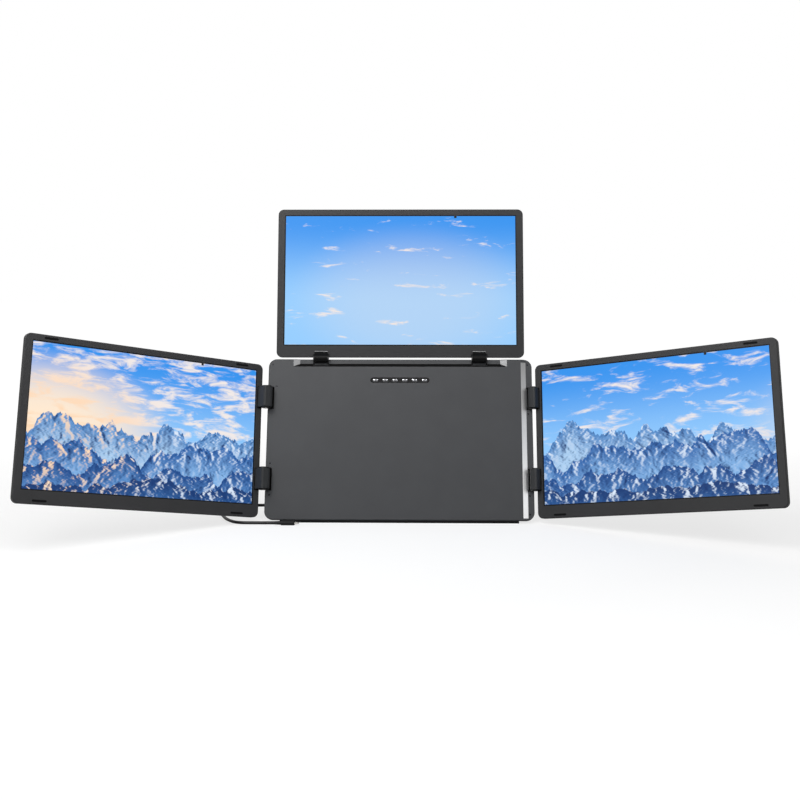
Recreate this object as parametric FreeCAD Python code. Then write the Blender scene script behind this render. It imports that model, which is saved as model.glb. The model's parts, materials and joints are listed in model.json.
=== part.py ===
import FreeCAD, Part
import math
import os
from FreeCAD import Vector

# Laptop screen extender: a hub panel that leans back on a kickstand, with a screen hinged on its
# left edge, its right edge and its top edge, each folding flat over the front of the hub.
#
# Every piece is drawn in the upright frame of the hub: u runs to the right, v up the panel and
# n straight out of its front face. u is +X, v is +Z and n is -Y, with u = 0 on the middle line,
# v = 0 on the lower edge and n = 0 on the front face. Screens are drawn opened flat, level with
# the hub. pose() then swings each piece to its place and leans the whole on the table.
# Lengths are millimetres and angles degrees.

# Display panels: a 16:9 panel of 17.3 inches
ACTIVE_W = 382.1
ACTIVE_H = 214.9
BEZEL_SIDE = 12.0
BEZEL_TOP = 10.5
BEZEL_CHIN = 20.5
SCREEN_T = 9.0
SCREEN_R = 9.0
SCREEN_EDGE_ROUND = 1.0
SCREEN_WALL = 1.6
BEZEL_FACE = 1.2
BEZEL_DEPTH = 5.0
BACK_WALL = 1.4
WINDOW_BORDER = 1.0
PANEL_T = 1.8
PANEL_LAP = 2.0
LIGHT_GUIDE_T = 1.6
SCREEN_BOARD = (150.0, 16.0, 1.4)
TAB_W = 7.0
TAB_H = 1.8
TAB_PLACE = 0.74
TAB_SINK = 0.4
BUMPER_L = 22.0
BUMPER_W = 3.0
BUMPER_H = 0.5
BUMPER_SINK = 0.7
BUMPER_FROM_END = 40.0
BUMPER_FROM_EDGE = 5.0

# Hub panel
HUB_W = 430.0
HUB_H = 259.0
HUB_R = 13.0
HUB_T = 12.0
HUB_SPLIT = 7.0
HUB_WALL = 2.0
HUB_EDGE_ROUND = 1.2
BUMP_SIDE_MARGIN = 35.0
BUMP_LOW = 6.0
BUMP_TOP_MARGIN = 23.0
BUMP_DEPTH = 26.0
BUMP_R = 12.0
BUMP_EDGE_ROUND = 3.0
CHASSIS_T = 2.0
CHASSIS_GAP = 0.6
CHASSIS_TOP_MARGIN = 11.0
CHASSIS_SLOT = (52.0, 22.0)
CHASSIS_SLOT_ASIDE = 0.28
CHASSIS_SLOT_UP = (0.5, 0.69)

# Trough along the upper edge of the hub, where the upper hinge covers lie when it is folded
TROUGH_DEPTH = 3.0
TROUGH_HALF_W = 175.5
TROUGH_END_SLOPE = 12.0
TROUGH_DROP = 12.4
TROUGH_SLOPE = 5.2

# Bright strip on the slope down to the right rim
STRIP_FROM_EDGE = 18.0
STRIP_W = 8.0
RIM_DROP = 3.0
STRIP_LOW = 3.6
STRIP_T = 0.8
STRIP_GROOVE_W = 0.7
STRIP_GROOVE_D = 0.3

# Button bar
BAR_FROM_TOP = 34.5
BAR_L = 97.0
BAR_W = 9.0
BAR_DEPTH = 1.0
INLAY_T = 0.6
INLAY_FIT = 0.1
BAR_CHORDS = 5
BUTTONS = 6
BUTTON_PITCH = 16.0
BUTTON_L = 9.5
BUTTON_W = 6.0
BUTTON_R = 2.2
BUTTON_EASE = 0.3
BUTTON_PROUD = 0.35
BUTTON_FOOT = 2.6
BUTTON_CLEAR = 0.3
BUTTON_TRAVEL = 0.6
BUTTON_LIP = 0.9
SWITCH_GAP = 0.1
SWITCH_SIZE = 4.5
SWITCH_T = 1.7
BUTTON_BOARD_T = 1.0
BUTTON_BOARD_W = 11.0

# How the hub stands
LEAN = 15.0
STAND_HEIGHT = 4.4
FOOT_FRONT = 1.2
FOOT_REAR = 11.0
FOOT_HALF_L = 190.0
FOOT_GROOVE = 1.2
FOOT_CENTRE_Y = 6.0

# Kickstand
KICK_FROM_BUMP_TOP = 32.0
KICK_HALF_W = 110.0
KICK_T = 2.6
KICK_SPREAD = 10.0
KICK_GAP = 0.4
KICK_SIDE_GAP = 1.5
KICK_SINK = 2.8
KICK_BARREL_R = 2.7
KICK_BARREL_L = 36.0
KICK_BARREL_ROOM = 8.0
KICK_BLOCK_L = 11.5
KICK_PIN_R = 1.2
KICK_PIN_SEAT = 4.5
KICK_FOOT_R = 2.6
KICK_FOOT_HALF_L = 100.0
KICK_CORNER_R = 10.0

# Screen hinges. Each has its own height above the face, so that the screens stack when folded:
# the upper screen first, then the right one, then the left one.
LEVEL_GAP = 0.9
TOP_LEVEL_GAP = 0.8
EDGE_LEFT = 1.3
EDGE_RIGHT = 0.8
EDGE_TOP = 1.4
SWING_LEFT = 39.0
SWING_RIGHT = 34.5
SWING_TOP = 8.0
SIDE_SCREEN_V = 3.0
SIDE_HINGE_FROM_END = 64.0
TOP_HINGE_FROM_MIDDLE = 129.6
SIDE_COVER_L = 32.0
TOP_COVER_L = 21.0
EAR_T = 1.8
EAR_GAP = 0.3
LEAF_T = 1.6
EAR_REACH_SIDE = 2.6
EAR_REACH_TOP = 9.2
BARREL_SIDES = 24
EAR_SIDES = 12
RUNNING = 0.05
LOOSE = 0.3
PIN_END = 0.3
SLEEVE_WALL = 1.8
ARM_T = 1.6
ARM_SHORT = 1.5
COVER_WALL = 1.3
COVER_FIT = 0.2
COVER_FOOT_TOP = 9.4
COVER_FOOT_T = 3.4
COVER_CORNER = 3.0
LEAF_REACH = 14.0
BRIDGE_W = 7.0
BASE_REACH = 10.0
BASE_SHORT = 2.0
SLOT_FIT = 0.4
NOTCH_FIT = 0.5
EAR_NOTCH_FIT = 0.7

# Cable and its plugs
CABLE_D = 4.8
CABLE_SIDES = 8
PORT_V = 24.0
PORT_PITCH = 19.0
PORT_L = 8.94
PORT_H = 3.2
PORT_WALL = 0.3
PORT_DEPTH = 7.5
PORT_CHORDS = 3
TIP_L = 8.2
TIP_H = 2.3
TIP_REACH = 6.4
PLUG_BODY = (12.0, 6.4, 21.0)
PLUG_R = 2.0
RELIEF_L = 11.0
RELIEF_THICK = 1.5
RELIEF_THIN = 0.2
RELIEF_ROUND = 0.49
PLUG_EASE = 1.2
PLUG_CHORDS = 3
PLUG_SEAT = 0.3
TIP_MOUTH = (6.2, 0.9, 5.2)
HOST_PLUG = (-164.0, -25.0, PLUG_BODY[1] / 2)
CABLE_EXIT = 24.0
CABLE_ROUTE = [
    (-258.0, 26.0, 19.0),
    (-270.0, 52.0, 10.0),
    (-272.0, 92.0, 2.4),
    (-286.0, 130.0, 2.4),
    (-318.0, 152.0, 2.4),
    (-352.0, 146.0, 2.4),
    (-366.0, 120.0, 2.4),
    (-350.0, 96.0, 2.4),
    (-318.0, 84.0, 2.4),
    (-295.0, 64.0, 2.4),
    (-286.0, 34.0, 2.4),
    (-275.0, 4.0, 2.4),
    (-256.0, -22.0, 2.4),
]

# The casings' rounded corners are cut in this many chords each
HUB_CHORDS = 7
SCREEN_CHORDS = 6
INNER_CHORDS = 3

# Screws, main board and vents of the hub
SCREW_R = 1.0
SCREW_HEAD_R = 1.7
SCREW_HEAD_DEPTH = 1.0
SCREW_BOSS_R = 3.4
SCREW_FROM_SIDE = 7.0
SCREW_FROM_TOP = 9.0
SCREW_FROM_BOTTOM = 10.0
SCREW_FROM_HINGE = 25.0
SCREW_ABOVE_HINGE = 19.0
SCREW_BELOW_FACE = 0.1
SCREW_ROOM = 0.2
BOARD_W = 237.5
BOARD_H = 95.0
BOARD_LOW = 17.0
BOARD_T = 1.6
BOARD_BEHIND = 11.4
BOARD_BOSS_R = 3.0
BOARD_GAP = 0.5
BOARD_SCREW_ACROSS = (0.37, 0.92)
BOARD_SCREW_UP = (0.19, 0.82)
CHIP_T = 1.3
BOARD_CHIPS = [(0.5, 0.5, 16.0), (0.64, 0.45, 12.0), (0.81, 0.56, 14.0), (0.24, 0.3, 9.0)]
SCREEN_BOARD_UP = 28.0
SCREEN_CHIP = (10.0, 1.0)
SWITCH_POST = (4.0, 8.0)
VENT_L = 18.0
VENT_W = 2.0
VENT_PITCH = 24.0
VENT_COUNT = 9
VENT_FROM_TOP = (12.0, 17.0)

# What follows from the sizes above
SCREEN_W = ACTIVE_W + 2 * BEZEL_SIDE
SCREEN_H = ACTIVE_H + BEZEL_TOP + BEZEL_CHIN
HALF_W = HUB_W / 2
PLUG_BACK = PLUG_BODY[2] + RELIEF_L
BUMP_W = HUB_W - 2 * BUMP_SIDE_MARGIN
BUMP_HIGH = HUB_H - BUMP_TOP_MARGIN
BAR_V = HUB_H - BAR_FROM_TOP
KICK_V = BUMP_HIGH - KICK_FROM_BUMP_TOP
KICK_AXIS_DEPTH = BUMP_DEPTH - KICK_SINK
HINGE_V = (SIDE_HINGE_FROM_END, HUB_H - SIDE_HINGE_FROM_END)
HINGE_U = (-TOP_HINGE_FROM_MIDDLE, TOP_HINGE_FROM_MIDDLE)
TOP_AXIS_N = TOP_LEVEL_GAP / 2
RIGHT_AXIS_N = (TOP_LEVEL_GAP + SCREEN_T + LEVEL_GAP) / 2
LEFT_AXIS_N = RIGHT_AXIS_N + (SCREEN_T + LEVEL_GAP) / 2
LEFT_AXIS_U = -(HALF_W + EDGE_LEFT)
RIGHT_AXIS_U = HALF_W + EDGE_RIGHT
TOP_AXIS_V = HUB_H + EDGE_TOP
CHASSIS_N = -(HUB_T - HUB_WALL)
CHASSIS_FRONT = CHASSIS_N + CHASSIS_T
BASE_TOP = CHASSIS_FRONT + LEAF_T
BOARD_REAR = BOARD_BEHIND - BUMP_DEPTH
PORT_N = BOARD_REAR - PORT_H / 2
SCREW_U = HALF_W - SCREW_FROM_SIDE
SCREW_TOP_V = HUB_H - SCREW_FROM_TOP
FRONT_SCREWS = [
    (-SCREW_U, SCREW_TOP_V, 0.0),
    (-SCREW_U, HINGE_V[0] + SCREW_FROM_HINGE, 0.0),
    (-SCREW_U, HINGE_V[0] - SCREW_FROM_HINGE, 0.0),
    (-SCREW_U + SCREW_FROM_SIDE, HINGE_V[1] + SCREW_ABOVE_HINGE, 0.0),
    (SCREW_U, SCREW_TOP_V, RIM_DROP),
    (SCREW_U, HINGE_V[1] - SCREW_FROM_HINGE, RIM_DROP),
    (SCREW_U, HINGE_V[0] - SCREW_FROM_HINGE, RIM_DROP),
    (SCREW_U, SCREW_FROM_BOTTOM, RIM_DROP),
]
BOARD_U = -BUMP_W / 2 + HUB_WALL + BOARD_GAP
BOARD_SCREWS = [(BOARD_U + a * BOARD_W, BOARD_LOW + b * BOARD_H)
                for a in BOARD_SCREW_ACROSS for b in BOARD_SCREW_UP]
SIN = math.sin(math.radians(LEAN))
COS = math.cos(math.radians(LEAN))
X_AXIS = Vector(1, 0, 0)
Y_AXIS = Vector(0, 1, 0)
Z_AXIS = Vector(0, 0, 1)

os.makedirs("parts", exist_ok=True)


# Simple solids in the upright frame

def slab(u0, u1, v0, v1, n0, n1):
    return Part.makeBox(u1 - u0, n1 - n0, v1 - v0, Vector(u0, -n1, v0))


def rounded_outline(u0, u1, v0, v1, n, r, chords=0):
    corners = [(u1 - r, v0 + r, -90), (u1 - r, v1 - r, 0), (u0 + r, v1 - r, 90), (u0 + r, v0 + r, 180)]
    turns = [90.0 * k / chords for k in range(chords + 1)] if chords else (0, 45, 90)
    arcs = []
    for cu, cv, start in corners:
        arcs.append([Vector(cu + r * math.cos(math.radians(start + t)), -n,
                            cv + r * math.sin(math.radians(start + t))) for t in turns])
    if chords:
        points = [point for arc in arcs for point in arc]
        return Part.makePolygon(points + points[:1])
    edges = []
    for i, points in enumerate(arcs):
        edges.append(Part.Arc(*points).toShape())
        edges.append(Part.LineSegment(points[-1], arcs[(i + 1) % 4][0]).toShape())
    return Part.Wire(edges)


def rounded_slab(u0, u1, v0, v1, n0, n1, r, chords=0):
    face = Part.Face(rounded_outline(u0, u1, v0, v1, n1, r, chords))
    return face.extrude(Vector(0, n1 - n0, 0))


def peg(u, v, n0, n1, r, sides=8):
    points = [Vector(u + r * math.cos(math.tau * k / sides), -n1, v + r * math.sin(math.tau * k / sides))
              for k in range(sides)]
    return Part.Face(Part.makePolygon(points + points[:1])).extrude(Vector(0, n1 - n0, 0))


# Breaks the edges round a face at height n

def ease(solid, n, size):
    edges = [e for e in solid.Edges if abs(e.BoundBox.YMin + n) < 1e-3 and abs(e.BoundBox.YMax + n) < 1e-3]
    return solid.makeChamfer(size, edges)


def join(solids):
    whole = solids[0]
    if len(solids) > 1:
        whole = whole.fuse(solids[1:])
    return whole.removeSplitter()


# Placing and writing the pieces

def pose(shape, body):
    placed = shape.copy()
    if body == "left":
        placed.rotate(Vector(LEFT_AXIS_U, -LEFT_AXIS_N, 0), Z_AXIS, SWING_LEFT)
    if body == "right":
        placed.rotate(Vector(RIGHT_AXIS_U, -RIGHT_AXIS_N, 0), Z_AXIS, -SWING_RIGHT)
    if body == "top":
        placed.rotate(Vector(0, -TOP_AXIS_N, TOP_AXIS_V), X_AXIS, SWING_TOP)
    if body == "kickstand":
        placed.rotate(Vector(0, KICK_AXIS_DEPTH, KICK_V), X_AXIS, KICK_OPEN)
    if body != "table":
        placed.rotate(Vector(0, 0, 0), X_AXIS, -LEAN)
        placed.translate(Vector(0, -FOOT_CENTRE_Y, STAND_HEIGHT))
    return placed


def save(name, pieces, body="hub"):
    solids = pieces if isinstance(pieces, list) else [pieces]
    placed = [pose(s, body) for s in solids]
    shape = placed[0] if len(placed) == 1 else Part.makeCompound(placed)
    shape.exportStep("parts/" + name + ".step")


def world(u, v, n):
    return Vector(u, v * SIN - n * COS - FOOT_CENTRE_Y, v * COS + n * SIN + STAND_HEIGHT)


# The kickstand opens until its foot bar touches the table behind the hub
kick_axis_z = KICK_V * COS - KICK_AXIS_DEPTH * SIN + STAND_HEIGHT
KICK_LENGTH = (kick_axis_z - KICK_FOOT_R) / math.cos(math.radians(KICK_SPREAD))
KICK_OPEN = LEAN + KICK_SPREAD
KICK_FOOT_V = KICK_V - KICK_LENGTH


# Hinges. A hinge is drawn on its own axis, with p pointing away from the hub, n out of the
# face and a along the pin. Ears of the hub's bracket hold the pin at both ends of the cover.

def hinge_bar(points, a0, a1):
    wire = Part.makePolygon([Vector(p, -n, a0) for p, n in points + points[:1]])
    return Part.Face(wire).extrude(Vector(0, 0, a1 - a0))


def hinge_rod(r, a0, a1):
    return Part.makeCylinder(r, a1 - a0, Vector(0, 0, a0), Z_AXIS)


def hinge_prism(r, a0, a1, sides=16):
    outer = r / math.cos(math.pi / sides)
    turns = [math.tau * (k + 0.5) / sides for k in range(sides)]
    return hinge_bar([(outer * math.cos(t), outer * math.sin(t)) for t in turns], a0, a1)


class Hinge:
    def __init__(self, side, axis_n, edge, cover_l, barrel_r, ear_r, pin_r):
        self.side = side
        self.n = axis_n
        self.edge = edge
        self.half = cover_l / 2
        self.barrel_r = barrel_r
        self.ear_r = ear_r
        self.pin_r = pin_r
        self.sleeve_r = pin_r + SLEEVE_WALL
        self.ear_in = self.half + EAR_GAP
        self.ear_out = self.ear_in + EAR_T
        self.leaf_p = edge + SCREEN_WALL + COVER_FIT
        self.leaf_end = self.leaf_p + LEAF_REACH
        self.leaf_n = BACK_WALL - SCREEN_T - axis_n
        self.base_n = BASE_TOP - axis_n
        self.foot_out = -edge - (EAR_REACH_TOP if side == "top" else EAR_REACH_SIDE)
        self.foot_in = self.foot_out - BRIDGE_W

    # A bent steel bracket: a base screwed on the chassis plate, with two ears that carry the pin
    def bracket(self):
        under = self.base_n - LEAF_T
        end = self.foot_in - BASE_REACH
        base = hinge_bar([(end, self.base_n), (self.foot_out, self.base_n), (self.foot_out, under),
                          (end, under)], -self.half + BASE_SHORT, self.half - BASE_SHORT)
        bridge = hinge_bar([(self.foot_in, self.base_n), (self.foot_out, self.base_n),
                            (self.foot_out, under), (self.foot_in, under)], -self.ear_out, self.ear_out)
        pieces = [base, bridge]
        for a0 in (-self.ear_out, self.ear_in):
            leg = hinge_bar(self.leg_outline(), a0, a0 + EAR_T)
            pieces += [leg, hinge_prism(self.ear_r, a0, a0 + EAR_T, EAR_SIDES)]
        return join(pieces).cut(hinge_prism(self.pin_r, -self.ear_out - 1, self.ear_out + 1))

    def leg_outline(self):
        under = self.base_n - LEAF_T
        split = 0.1 - HUB_SPLIT - self.n
        r = self.ear_r
        lip = min(-self.edge - 0.8, -1.0)
        outline = [(self.foot_in, under), (self.foot_out, under), (self.foot_out, split)]
        if self.side == "top":
            return outline + [(-1.6, -r * 0.96), (-r, 0.0)]
        return outline + [(lip, split), (lip, -self.n * 0.6 - 0.5), (0.0, -r), (-r, 0.0)]

    # Room that the ears of the bracket take in the edge of the hub
    def ear_slots(self):
        under = CHASSIS_FRONT - self.n
        out = 1.0 - self.edge
        start = self.foot_in - SLOT_FIT
        above = 1.0 - self.n
        disc = -self.ear_r - SLOT_FIT
        outline = [(start, under), (out, under), (out, above), (disc, above), (disc, SLOT_FIT),
                   (start, self.base_n + SLOT_FIT)]
        if self.side != "top":
            outline = [(start, under), (out, under), (out, above), (start, above)]
        return [hinge_bar(outline, a0 - LOOSE, a0 + EAR_T + LOOSE) for a0 in (-self.ear_out, self.ear_in)]

    def pin(self):
        return hinge_rod(self.pin_r, -self.ear_out - PIN_END, self.ear_out + PIN_END)

    # The steel arm: a sleeve that turns on the pin, and a leaf that goes into the screen
    def arm(self):
        half = self.half - ARM_SHORT
        deep = self.leaf_n
        t = ARM_T / 2
        leaf = hinge_bar([(0.0, t), (self.leaf_p + LEAF_T, t), (self.leaf_p + LEAF_T, deep + LEAF_T),
                          (self.leaf_end, deep + LEAF_T), (self.leaf_end, deep), (self.leaf_p, deep),
                          (self.leaf_p, -t), (0.0, -t)], -half, half)
        sleeve = hinge_prism(self.sleeve_r, -half, half, EAR_SIDES)
        bore = hinge_rod(self.pin_r + RUNNING, -half - 1, half + 1)
        return sleeve.fuse(leaf).removeSplitter().cut(bore)

    def cover_outline(self):
        if self.side == "top":
            face = -self.n
            reach = EDGE_TOP + COVER_FOOT_TOP
            ridge = face + COVER_FOOT_T
            return [(0.0, face), (reach, face), (reach, ridge - 2.0), (reach - 2.4, ridge), (0.0, ridge)]
        r = self.barrel_r
        c = COVER_CORNER
        return [(0.0, -self.n), (r, -self.n), (r, r - c), (r - c * 0.3, r - c * 0.3), (r - c, r), (0.0, r)]

    # Moulded cover round the sleeve, with a foot that lies on the bezel
    def cover(self):
        half = self.half
        barrel = hinge_prism(self.barrel_r, -half, half, BARREL_SIDES)
        foot = hinge_bar(self.cover_outline(), -half, half)
        body = barrel.fuse(foot).removeSplitter()
        room = half - COVER_WALL
        near = self.leaf_p - COVER_FIT
        far = self.leaf_p + LEAF_T + COVER_FIT
        t = ARM_T / 2 + COVER_FIT
        below = -self.n - SCREEN_T
        inside = hinge_prism(self.sleeve_r + COVER_FIT, -room, room)
        through = hinge_prism(self.pin_r + LOOSE, -half - 1, half + 1, EAR_SIDES)
        slot = hinge_bar([(0.0, t), (far, t), (far, below), (near, below), (near, -t), (0.0, -t)],
                         -room, room)
        return body.cut([inside, through, slot])

    # What the cover and the leaf take out of the edge of their screen
    def screen_notch(self):
        seat = hinge_prism(self.barrel_r, -self.half, self.half, BARREL_SIDES)
        cuts = [seat]
        half = self.half - COVER_WALL
        near = self.leaf_p - COVER_FIT / 2
        far = self.leaf_p + LEAF_T + COVER_FIT / 2
        under = -self.n - BEZEL_FACE - 1
        cuts.append(hinge_bar([(near, 0.0), (far, 0.0), (far, under), (near, under)], -half, half))
        room = 2 * LOOSE
        for a0 in (-self.ear_out, self.ear_in):
            cuts.append(hinge_prism(self.ear_r + EAR_NOTCH_FIT, a0 - room, a0 + EAR_T + room, EAR_SIDES))
        return cuts

    # What the turning barrel takes out of the edge of the hub
    def hub_notch(self):
        return [hinge_prism(self.barrel_r + NOTCH_FIT, -self.half - EAR_GAP, self.half + EAR_GAP)]

    # The wall that closes the casing behind that notch
    def notch_wall(self):
        reach = self.half + EAR_GAP + HUB_WALL
        return hinge_prism(self.barrel_r + NOTCH_FIT + HUB_WALL, -reach, reach)

    def place(self, shape, along):
        placed = shape.copy()
        if self.side == "left":
            placed = placed.mirror(Vector(0, 0, 0), X_AXIS)
            placed.translate(Vector(LEFT_AXIS_U, -self.n, along))
        if self.side == "right":
            placed.translate(Vector(RIGHT_AXIS_U, -self.n, along))
        if self.side == "top":
            placed.rotate(Vector(0, 0, 0), Y_AXIS, -90)
            placed.translate(Vector(along, -self.n, TOP_AXIS_V))
        return placed

    def places(self):
        return HINGE_U if self.side == "top" else HINGE_V

    def all(self, shapes):
        shapes = shapes if isinstance(shapes, list) else [shapes]
        return [self.place(s, along) for along in self.places() for s in shapes]


hinges = {
    "left": Hinge("left", LEFT_AXIS_N, EDGE_LEFT, SIDE_COVER_L, LEFT_AXIS_N - 0.6, 7.6, 2.4),
    "right": Hinge("right", RIGHT_AXIS_N, EDGE_RIGHT, SIDE_COVER_L, RIGHT_AXIS_N + RIM_DROP - 0.8,
                   RIGHT_AXIS_N - 0.5, 2.0),
    "top": Hinge("top", TOP_AXIS_N, EDGE_TOP, TOP_COVER_L, 7.5, 6.0, 2.0),
}


# Hub casing: two moulded shells that meet at the split line

def hub_front_cover():
    shell = rounded_slab(-HALF_W, HALF_W, 0, HUB_H, -HUB_SPLIT, 0, HUB_R, HUB_CHORDS)
    shell = ease(shell, 0, HUB_EDGE_ROUND)
    w = HUB_WALL
    cavity = rounded_slab(-HALF_W + w, HALF_W - w, w, HUB_H - w, -HUB_SPLIT, -w, HUB_R - w, INNER_CHORDS)
    strip_u = HALF_W - STRIP_FROM_EDGE
    pads = [
        slab(-TROUGH_HALF_W - w, TROUGH_HALF_W + w, HUB_H - TROUGH_DROP - w, HUB_H, -TROUGH_DEPTH - w, 0),
        slab(strip_u - w, HALF_W, 0, HUB_H, -RIM_DROP - w - STRIP_T, 0),
        slab(-HALF_W, HALF_W, 0, FOOT_GROOVE + w, -HUB_SPLIT, 0),
    ]
    pads += hinges["top"].all(hinges["top"].notch_wall())
    pads += [peg(u, v, -HUB_SPLIT, 0, SCREW_BOSS_R) for u, v, drop in FRONT_SCREWS]
    cover = shell.cut(cavity.cut(pads))

    def trough_outline(n, grow, drop):
        half = TROUGH_HALF_W - grow
        low = HUB_H - TROUGH_DROP + drop
        points = [(-half, low), (half, low), (half, HUB_H + 3), (-half, HUB_H + 3)]
        return Part.makePolygon([Vector(u, -n, v) for u, v in points + points[:1]])

    slope = 1.0 / TROUGH_DEPTH
    trough = Part.makeLoft([trough_outline(1, -TROUGH_END_SLOPE * slope, -TROUGH_SLOPE * slope),
                            trough_outline(-TROUGH_DEPTH, TROUGH_END_SLOPE, TROUGH_SLOPE)], True, True)
    rim_u = strip_u + STRIP_W
    rim = [(strip_u, 1), (strip_u, -STRIP_T), (rim_u, -RIM_DROP - STRIP_T), (rim_u, -RIM_DROP),
           (HALF_W + 1, -RIM_DROP), (HALF_W + 1, 1)]
    wire = Part.makePolygon([Vector(u, -n, STRIP_LOW) for u, n in rim + rim[:1]])
    rim_cut = Part.Face(wire).extrude(Vector(0, 0, HUB_H))
    bar = rounded_slab(-BAR_L / 2, BAR_L / 2, BAR_V - BAR_W / 2, BAR_V + BAR_W / 2, -BAR_DEPTH, 1,
                       BAR_W / 2 - 0.01, BAR_CHORDS)
    cuts = [trough, rim_cut, bar, foot_groove()]
    cuts += [button_shape(i, BUTTON_CLEAR, -HUB_WALL - 1, 1) for i in range(BUTTONS)]
    cuts += [peg(u, v, -HUB_SPLIT - 1, 1, SCREW_R + SCREW_ROOM) for u, v, drop in FRONT_SCREWS]
    cuts += [peg(u, v, -drop - SCREW_HEAD_DEPTH, 1, SCREW_HEAD_R + SCREW_ROOM)
             for u, v, drop in FRONT_SCREWS]
    cuts += hinges["top"].all(hinges["top"].hub_notch())
    for hinge in hinges.values():
        cuts += hinge.all(hinge.ear_slots())
    return cover.cut(cuts).removeSplitter()


def hub_rear_cover():
    w = HUB_WALL
    flange = rounded_slab(-HALF_W, HALF_W, 0, HUB_H, -HUB_T, -HUB_SPLIT, HUB_R, HUB_CHORDS)
    flange = ease(flange, -HUB_T, HUB_EDGE_ROUND)
    half = BUMP_W / 2
    bump = rounded_slab(-half, half, BUMP_LOW, BUMP_HIGH, -BUMP_DEPTH, -HUB_SPLIT - 1, BUMP_R, HUB_CHORDS)
    bump = ease(bump, -BUMP_DEPTH, BUMP_EDGE_ROUND)
    recess_half = KICK_HALF_W + KICK_SIDE_GAP
    recess_top = KICK_V + KICK_BARREL_R + KICK_SIDE_GAP
    recess_n = -(KICK_AXIS_DEPTH - KICK_T / 2 - KICK_GAP)
    barrel_n = -(KICK_AXIS_DEPTH - KICK_BARREL_R - KICK_GAP)
    low = KICK_V - KICK_BARREL_ROOM
    foot_low = KICK_FOOT_V + KICK_FOOT_R + KICK_SIDE_GAP
    cavity = [
        rounded_slab(-HALF_W + w, HALF_W - w, w + FOOT_GROOVE, HUB_H - w, -HUB_T + w, -HUB_SPLIT,
                     HUB_R - w, INNER_CHORDS),
        rounded_slab(-half + w, half - w, BUMP_LOW + w, BUMP_HIGH - w, -BUMP_DEPTH + w, -HUB_SPLIT,
                     BUMP_R - w, INNER_CHORDS),
    ]
    pads = [
        slab(-recess_half - w, recess_half + w, 0, recess_top + w, -BUMP_DEPTH, recess_n + w),
        slab(-recess_half - w, recess_half + w, low - w, recess_top + w, -BUMP_DEPTH, barrel_n + w),
        slab(-recess_half - w, recess_half + w, 0, foot_low + w, -BUMP_DEPTH, barrel_n + w),
        slab(-recess_half - KICK_PIN_SEAT - 1, recess_half + KICK_PIN_SEAT + 1, low + w, recess_top + w,
             -BUMP_DEPTH, barrel_n + w),
    ]
    pads += hinges["top"].all(hinges["top"].notch_wall())
    cover = join([flange, bump]).cut(join(cavity).cut(pads))
    bosses = [peg(u, v, recess_n + w - 0.5, BOARD_REAR, BOARD_BOSS_R) for u, v in BOARD_SCREWS]
    cover = join([cover] + bosses)
    cuts = [
        slab(-recess_half, recess_half, -1, recess_top, -BUMP_DEPTH - 1, recess_n),
        slab(-recess_half, recess_half, low, recess_top, -BUMP_DEPTH - 1, barrel_n),
        slab(-recess_half, recess_half, -1, foot_low, -BUMP_DEPTH - 1, barrel_n),
        kick_prism(KICK_PIN_R, -recess_half - KICK_PIN_SEAT, recess_half + KICK_PIN_SEAT, 12),
        foot_groove(),
    ]
    for i in range(2):
        v = PORT_V + i * PORT_PITCH
        cuts.append(port_block(v, PORT_L / 2 + 0.1, PORT_H / 2 + 0.1, -half - 1, -half + PORT_DEPTH + 0.2))
    for k in range(VENT_COUNT):
        u = (k - (VENT_COUNT - 1) / 2) * VENT_PITCH
        cuts += [slab(u - VENT_L / 2, u + VENT_L / 2, BUMP_HIGH - drop - VENT_W, BUMP_HIGH - drop,
                      -BUMP_DEPTH - 1, -BUMP_DEPTH + w + 1) for drop in VENT_FROM_TOP]
    cuts += hinges["top"].all(hinges["top"].hub_notch())
    return cover.cut(cuts).removeSplitter()


# The rubber foot fills its groove and ends on the table's level
def foot_strip():
    def table_v(n):
        return -(STAND_HEIGHT + n * SIN) / COS
    points = [(-FOOT_FRONT, FOOT_GROOVE), (-FOOT_REAR, FOOT_GROOVE), (-FOOT_REAR, table_v(-FOOT_REAR)),
              (-FOOT_FRONT, table_v(-FOOT_FRONT))]
    wire = Part.makePolygon([Vector(-FOOT_HALF_L, -n, v) for n, v in points + points[:1]])
    return Part.Face(wire).extrude(Vector(2 * FOOT_HALF_L, 0, 0))


def foot_groove():
    return slab(-FOOT_HALF_L, FOOT_HALF_L, -1, FOOT_GROOVE, -FOOT_REAR, -FOOT_FRONT)


def hub_screws():
    screws = []
    for u, v, drop in FRONT_SCREWS:
        top = -drop - SCREW_BELOW_FACE
        shank = peg(u, v, CHASSIS_FRONT, top, SCREW_R)
        screws.append(shank.fuse(peg(u, v, -drop - SCREW_HEAD_DEPTH, top, SCREW_HEAD_R)))
    return screws


def chassis_plate():
    m = HUB_WALL + CHASSIS_GAP
    plate = rounded_slab(-HALF_W + m, HALF_W - m, m + FOOT_GROOVE, HUB_H - CHASSIS_TOP_MARGIN, CHASSIS_N,
                         CHASSIS_FRONT, HUB_R - m, INNER_CHORDS)
    w, h = CHASSIS_SLOT
    aside = CHASSIS_SLOT_ASIDE * HUB_W
    slots = [rounded_slab(u - w / 2, u + w / 2, v * HUB_H, v * HUB_H + h, CHASSIS_N - 1, CHASSIS_FRONT + 1,
                          h / 3, INNER_CHORDS)
             for u in (-aside, 0.0, aside) for v in CHASSIS_SLOT_UP]
    return plate.cut(slots)


def main_board():
    front = BOARD_REAR + BOARD_T
    parts = [slab(BOARD_U, BOARD_U + BOARD_W, BOARD_LOW, BOARD_LOW + BOARD_H, BOARD_REAR, front)]
    for across, up, size in BOARD_CHIPS:
        u = BOARD_U + across * BOARD_W
        v = BOARD_LOW + up * BOARD_H
        parts.append(slab(u - size / 2, u + size / 2, v - size / 2, v + size / 2, front, front + CHIP_T))
    return join(parts)


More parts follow.
